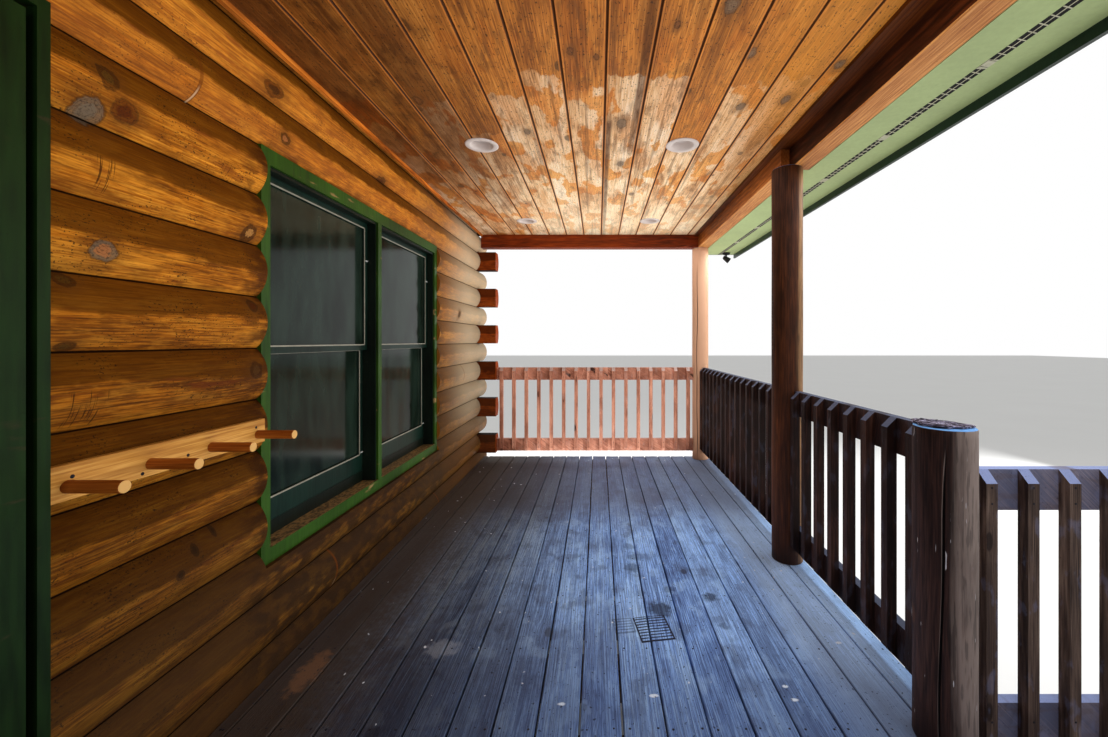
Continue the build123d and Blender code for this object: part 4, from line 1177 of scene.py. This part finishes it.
# Upright boards over the end beams, cut to the roof's slope
gable_pitch, gable_width, gable_thickness = 0.140, 0.1375, 0.019
gable_shapes = []
for side, x_to in ((1, far_beam_high[0]), (-1, near_beam_high[0])):
    lefts = np.arange(panel_low[0], x_to - 0.02, gable_pitch)
    low_y, high_y = sorted((side * panel_high[1], side * (panel_high[1] - gable_thickness)))
    boards = eased(lefts, np.minimum(lefts + gable_width, x_to), low_y, high_y, 0.003)
    board_tones = chance_draw.random(len(lefts))
    gable_shapes.append(prisms(boards, panel_low[2], roof_line(boards[..., 0]), "z", board_tones))
gable_colours = paints((206, 140, 76), (178, 110, 50), (118, 66, 28), (76, 46, 28))
gable_boards = board_finish("stained_gable", "z", gable_colours, 0.008, 0.5, 0.6, 0.3, (110, 70, 38))
make_piece("gable_boards", gable_shapes, gable_boards, ["gable_panels"])

# Soffit vent: bars and joint plates across its dark slots, and a rib along the middle
vent_ease, bar_pitch, bar_half, plate_pitch, plate_half, rib_half = 0.0004, 0.038, 0.0022, 0.61, 0.028, 0.0016
skin, vent_back = vent_low[2] - 0.0012, vent_low[2] + 0.001
middle_x = (vent_low[0] + vent_high[0]) / 2
bar_y = np.arange(vent_low[1] + 0.02, vent_high[1] - 0.02, bar_pitch)
plate_y = np.arange(-0.644 - 4 * plate_pitch, vent_high[1] - 0.1, plate_pitch)
bars = eased(bar_y - bar_half, bar_y + bar_half, skin, vent_back, vent_ease)
plates = eased(plate_y - plate_half, plate_y + plate_half, skin, vent_back, vent_ease)
rib = eased(middle_x - rib_half, middle_x + rib_half, skin - 0.0003, vent_back, vent_ease)
slanted = np.zeros((len(bar_y), 2, 2))
slanted[:, 1, 0] = 0.010
vent_shapes = [
    prisms(bars, vent_low[0] + 0.001, vent_high[0] - 0.001, "x", None, 2, slanted),
    prisms(plates, vent_low[0] + 0.001, vent_high[0] - 0.001, "x"),
    prisms(rib, vent_low[1] + 0.005, vent_high[1] - 0.005, "y"),
]
vent_pale = plain_finish("vent_bars", paint(176, 172, 146), 0.5, 0.15, 20.0)
make_piece("vent_grille", vent_shapes, vent_pale)

# Peg rack: an eased board with screw holes, and pegs with rounded ends
rack_colours = paints((200, 148, 74), (170, 116, 48), (122, 74, 26), (86, 50, 22))
rack_outline = eased(rack_low[0], rack_high[0], rack_low[2], rack_high[2], 0.0015)
make_piece(
    "rack_board", [prisms(rack_outline, rack_low[1], rack_high[1], "y")],
    pine_finish("pale_pine_board", "y", rack_colours), ["peg_rack_board"],
)
peg_radius = (peg_high[2] - peg_low[2]) / 2
peg_run = peg_high[0] - peg_low[0]
peg_y = np.linspace(peg_low[1] + peg_radius, peg_high[1] - peg_radius, 4)
peg_profile = [
    (peg_radius, 0.0), (peg_radius, peg_run - 0.002), (peg_radius - 0.0006, peg_run - 0.0006),
    (peg_radius - 0.002, peg_run),
]
peg_colours = paints((176, 102, 36), (146, 74, 20), (100, 46, 10), (76, 40, 16))
peg_shape = turned(peg_profile, [(peg_low[0], y, peg_low[2] + peg_radius) for y in peg_y], (1, 0, 0), 32)
make_piece("turned_pegs", [peg_shape], pine_finish("oiled_peg", "x", peg_colours), ["pegs"])
screw_places = [
    (rack_high[0] - 0.0002, y, z) for y, z in ((-1.231, 1.716), (-1.062, 1.672), (-0.921, 1.689), (-0.641, 1.722))
]
screw_hole = [(0.0052, 0.0), (0.0050, 0.0005), (0.0030, 0.0006)]
make_piece("rack_screws", [turned(screw_hole, screw_places, (1, 0, 0), 12)], rusty)

# Windows: pale screen edges round each pane and white latches on the far stiles
upper_front, lower_front = casing_high[0] - 0.060, casing_high[0] - 0.090
pane_width = (pane_high[1] - pane_low[1] - mullion - 2 * (window_jamb + sash_border)) / 2
sash_rise = (pane_high[2] - pane_low[2] + 2 * sash_border + sash_foot) / 2
pane_rows = [
    (upper_front, pane_high[2] + 2 * sash_border - sash_rise, pane_high[2], 2.53),
    (lower_front, pane_low[2], pane_low[2] - sash_foot + sash_rise - sash_border, 1.38),
]
edge_half = 0.0035
line_shapes, latches = [], []
for y_from in (pane_low[1], pane_high[1] - pane_width):
    y_to = y_from + pane_width
    for front, z_from, z_to, latch_z in pane_rows:
        for axis, lines, start, end in (("y", (z_from, z_to), y_from, y_to), ("z", (y_from, y_to), z_from, z_to)):
            lines = np.array(lines)
            outlines = eased(front - 0.002, front + 0.0015, lines - edge_half, lines + edge_half, 0.0005)
            line_shapes.append(prisms(outlines, start - edge_half, end + edge_half, axis))
        latches.append((front, y_to + sash_border, latch_z))
screen_grey = plain_finish("screen_edge", paint(126, 122, 108), 0.45, 0.15, 15.0)
make_piece("screen_edges", line_shapes, screen_grey)
latch_x, latch_y, latch_z = np.array(latches).T
latch_outlines = eased(latch_x - 0.001, latch_x + 0.007, latch_z - 0.004, latch_z + 0.004, 0.0012)
latch_white = plain_finish("latch_white", paint(176, 178, 172), 0.4, 0.08, 30.0)
latch_shape = prisms(latch_outlines, latch_y - 0.026, latch_y - 0.004, "y")
make_piece("window_latches", [latch_shape], latch_white)

# Door leaf of upright boards, and a turned knob
leaf_edges = np.linspace(leaf_low[1], leaf_high[1], 7)
leaf_outlines = eased(leaf_low[0], leaf_high[0], leaf_edges[:-1] + 0.0002, leaf_edges[1:] - 0.0002, 0.005)
door_green = painted_finish("door_green", paint(30, 56, 32), paint(54, 46, 30), 0.1, 0.5)
leaf_shape = prisms(leaf_outlines, leaf_low[2], leaf_high[2], "z")
make_piece("door_boards", [leaf_shape], door_green, ["door_leaf"])
knob_centre = (knob_low + knob_high) / 2
knob_profile = [
    (0.032, 0.0), (0.032, 0.004), (0.029, 0.008), (0.012, 0.010), (0.009, 0.014), (0.009, 0.024), (0.014, 0.029),
    (0.023, 0.033), (0.027, 0.039), (0.0265, 0.045), (0.022, 0.050), (0.013, 0.0535), (0.004, 0.054),
]
brass = plain_finish("worn_brass", paint(168, 132, 74), 0.35, 0.25, 40.0, 0.0001, Metallic=1.0)
knob_shape = turned(knob_profile, [(knob_low[0], knob_centre[1], knob_centre[2])], (1, 0, 0), 40)
make_piece("round_knob", [knob_shape], brass, ["door_knob"], True)

# Flood light: a base, an arm and a flared head turned outwards and down
black_metal = plain_finish("black_enamel", paint(26, 26, 27), 0.4, 0.3, 25.0)
lamp_seat = np.array([(lamp_low[0] + lamp_high[0]) / 2, (lamp_low[1] + lamp_high[1]) / 2, lamp_high[2]])
head_axis = np.array([cos(radians(35)), 0.0, -sin(radians(35))])
head_start = lamp_seat - [0.0, 0.0, 0.071] - head_axis * 0.040
base_profile = [(0.030, -0.026), (0.042, -0.018), (0.045, -0.006), (0.045, 0.0)]
arm_profile = [(0.009, -0.062), (0.009, -0.018)]
head_profile = [
    (0.012, 0.0), (0.021, 0.006), (0.026, 0.018), (0.030, 0.050), (0.034, 0.078), (0.034, 0.082), (0.030, 0.080),
    (0.026, 0.060), (0.010, 0.055),
]
lamp_shapes = [
    turned(base_profile, [lamp_seat], (0, 0, 1), 32), turned(arm_profile, [lamp_seat], (0, 0, 1), 16),
    turned(head_profile, [head_start], head_axis, 32),
]
make_piece("flood_lamp", lamp_shapes, black_metal, ["flood_light"], True)


# Nail heads on the railings, two where each baluster crosses a rail
def baluster_runs(run, both):
    """Distances of the balusters' centres from the start of a railing, as the CAD spaces them."""
    clear = run - post_radius * (2 if both else 1)
    count = int((clear - baluster) / baluster_pitch) + 1
    return run - post_radius - clear / 2 + (np.arange(count) - (count - 1) / 2) * baluster_pitch


nail_profile = [(0.0040, 0.0), (0.0038, 0.0009), (0.0018, 0.0012)]
nail_heights = np.array([rail_bottom + 0.052, rail_bottom + 0.105, rail_top - 0.105, rail_top - 0.052])
nail_seat = 0.0002 - baluster
end_face = y_post + end_rail_offset + nail_seat
landing_face = newel_y + landing_rail_offset + nail_seat - landing_middle
end_run = tail_high[0] + baluster_runs(x_post - tail_high[0], False)
landing_run = x_post + baluster_runs(x_landing_post - x_post, True)
rail_rows = [
    (start_y - baluster_runs(run, True), deck_high[2], 0, x_post + porch_rail_offset + nail_seat, -1)
    for start_y, run in ((y_post, y_post - middle_post_y), (middle_post_y, middle_post_y - newel_y))
]
rail_rows += [(end_run, deck_high[2], 1, side * end_face, -side) for side in (1, -1)]
rail_rows += [(landing_run, landing_high[2], 1, landing_middle + side * landing_face, -side) for side in (1, -1)]
nail_shapes = []
for places, floor_height, across, face, direction in rail_rows:
    grid = np.stack(np.meshgrid(places, nail_heights + floor_height), -1).reshape(-1, 2)
    axis = np.zeros(3)
    axis[across] = direction
    nail_shapes.append(turned(nail_profile, np.insert(grid, across, face, axis=1), axis, 6))
make_piece("rail_nails", nail_shapes, rusty)

# Finishes of the CAD nodes that stay
wall_colours = paints(
    (212, 140, 42), (170, 97, 18), (90, 46, 8), (84, 58, 34), (82, 43, 3), (126, 76, 28), (80, 42, 12)
)
end_colours = paints(
    (160, 76, 24), (126, 50, 10), (64, 22, 4), (44, 24, 14), (70, 28, 6), (142, 58, 12), (84, 30, 6)
)
wall_drips = [(-1.165, -1.098, 2.440, 2.545), (-1.230, -1.120, 1.820, 1.925), (-0.770, -0.700, 2.640, 2.700)]
wall_joints = [(11, -0.85), (1, -0.083), (5, 2.05), (13, 0.95), (15, -1.20), (0, 1.35)]
slate, olive, rust, umber = paints((90, 84, 70), (84, 56, 18), (76, 32, 6), (52, 28, 8))
flesh = paint(160, 96, 50)
wall_knots = [
    (-1.129, 2.758, 0.026, 0.030, umber, olive), (-1.160, 2.651, 0.038, 0.036, slate, paint(100, 88, 72)),
    (-1.084, 2.690, 0.034, 0.030, rust, paint(70, 26, 6)), (-1.139, 2.290, 0.034, 0.028, slate, flesh),
    (-0.626, 2.459, 0.030, 0.032, umber, paint(172, 120, 62)), (-1.211, 2.203, 0.026, 0.018, umber, olive),
    (-0.616, 2.185, 0.024, 0.022, umber, rust), (-0.500, 3.080, 0.050, 0.024, rust, umber),
    (0.442, 3.038, 0.050, 0.026, umber, rust), (-1.205, 2.036, 0.022, 0.012, umber, olive),
    (-0.613, 1.936, 0.030, 0.032, umber, paint(84, 52, 22)), (-0.865, 1.364, 0.012, 0.022, umber, umber),
    (-0.779, 1.389, 0.010, 0.020, umber, umber), (-0.925, 1.310, 0.014, 0.014, umber, umber),
    (-0.450, 2.900, 0.028, 0.020, umber, flesh), (1.900, 2.300, 0.030, 0.028, umber, olive),
]
wall_finish = log_finish("stained_wall_logs", True, wall_colours, wall_joints, wall_knots, wall_drips)
dress(wall_finish, "wall_logs_passing", "wall_logs_butting")
dress(log_finish("stained_end_logs", False, end_colours, [], [], []), "gable_logs_passing", "gable_logs_butting")
for name, coat, worn, wear, rough, sill, node in (
    ("casing_green", (33, 60, 10), (140, 108, 66), 0.10, 0.5, sill_height, "window_casing"),
    # painted shade: the door casing takes a darker copy of the casing green
    ("shaded_door_casing_green", (15, 34, 7), (40, 38, 18), 0.05, 0.5, None, "door_casing"),
    ("frame_black_green", (10, 18, 12), (30, 36, 28), 0.0, 0.40, None, "window_frames"),
    ("sash_teal_green", (12, 30, 23), (34, 44, 36), 0.0, 0.38, None, "window_sashes"),
):
    dress(painted_finish(name, paint(*coat), paint(*worn), wear, rough, sill), node)
dress(glass_finish(), "window_glass")
dress(block_finish(), "foundation")
dress(plain_finish("cast_concrete", paint(150, 148, 140), 0.9, 0.18, 6.0, 0.002), "piers")
framing_colours = paints((150, 128, 100), (122, 100, 74), (82, 64, 46), (56, 42, 30))
framing_y = board_finish("framing_y", "y", framing_colours, grime=0.4, grime_colour=(92, 80, 66))
framing_x = board_finish("framing_x", "x", framing_colours, grime=0.4, grime_colour=(92, 80, 66))
dress(framing_y, "deck_beams", "roof_deck")
dress(framing_x, "deck_joists", "ceiling_joists", "landing_frame", "stringers", "rafters")
# painted shade: the ceiling trim is multiplied much darker beyond x = 0
trim_colours = paints((236, 140, 50), (208, 110, 30), (112, 50, 12), (60, 34, 20))
trim_wood = board_finish(
    "ceiling_trim_wood", "y", trim_colours, grime=0.4, grime_colour=(84, 44, 20), outer_shade_tint=(0.15, 0.12, 0.09, 1.0)
)
dress(trim_wood, "ceiling_trim")
dress(plain_finish("sage_soffit", paint(156, 170, 116), 0.55, 0.10, 2.4, 0.0003), "soffit")
# painted shade: the vent strip is near-black, standing in for the shade seen through its slots
dress(plain_finish("vent_slot_shade", paint(20, 19, 18), 0.8, 0.2, 30.0), "soffit_vent")
dress(plain_finish("edge_green_metal", paint(16, 36, 24), 0.35, 0.35, 3.0, 0.0003), "fascia", "rake_boards")
# painted light and shade: the porch rails take dark colours as in shade, and the end rails a pale copy of the same
# wood as in sun
shaded_rail_colours = paints((62, 37, 28), (36, 19, 14), (16, 8, 6), (74, 79, 98))
sunlit_end_rail_colours = paints((226, 162, 134), (194, 130, 104), (118, 68, 50), (190, 164, 156))
landing_rail_colours = paints((140, 118, 103), (95, 76, 66), (45, 33, 28), (138, 150, 192))
porch_rail = rail_finish("porch_rail", "y", "x", 0.0, x_post + porch_rail_offset, shaded_rail_colours, 0.15)
end_rail = rail_finish("end_rail", "x", "y", 0.0, y_post + end_rail_offset, sunlit_end_rail_colours)
landing_split = newel_y + landing_rail_offset - landing_middle
landing_rail = rail_finish("landing_rail", "x", "y", landing_middle, landing_split, landing_rail_colours, 0.62)
dress(porch_rail, "long_rail_far", "long_rail_near")
dress(end_rail, "end_rails")
dress(landing_rail, "landing_rails")

# Floor and background: white where it is seen, mirrored or seen through, and plain light elsewhere
floor_half = 60
floor_mesh = bpy.data.meshes.new("floor")
floor_corners = [(x * floor_half, y * floor_half, 0) for x, y in ((-1, -1), (1, -1), (1, 1), (-1, 1))]
floor_mesh.from_pydata(floor_corners, [], [(0, 1, 2, 3)])
floor_mesh.materials.append(plain_finish("pale_floor", paint(242, 242, 240), 0.85, 0.01, 0.6, 0.0))
floor = bpy.data.objects.new("floor", floor_mesh)
bpy.context.scene.collection.objects.link(floor)

world = bpy.data.worlds.new("studio")
bpy.context.scene.world = world
world.use_nodes = True
sky = world.node_tree
sky.nodes.clear()
rays, seen, seen_through, lighting, backdrop, choice, outlet = (
    sky.nodes.new("ShaderNode" + kind)
    for kind in ("LightPath", "Math", "Math", "Background", "Background", "MixShader", "OutputWorld")
)
seen.operation = seen_through.operation = "MAXIMUM"
lighting.inputs["Strength"].default_value = 0.55
for background in (lighting, backdrop):
    background.inputs["Color"].default_value = (1.0, 1.0, 1.0, 1.0)
for start_socket, end_socket in (
    (rays.outputs["Is Camera Ray"], seen.inputs[0]), (rays.outputs["Is Glossy Ray"], seen.inputs[1]),
    (seen.outputs[0], seen_through.inputs[0]), (rays.outputs["Is Transmission Ray"], seen_through.inputs[1]),
    (seen_through.outputs[0], choice.inputs[0]), (lighting.outputs[0], choice.inputs[1]),
    (backdrop.outputs[0], choice.inputs[2]), (choice.outputs[0], outlet.inputs[0]),
):
    sky.links.new(start_socket, end_socket)
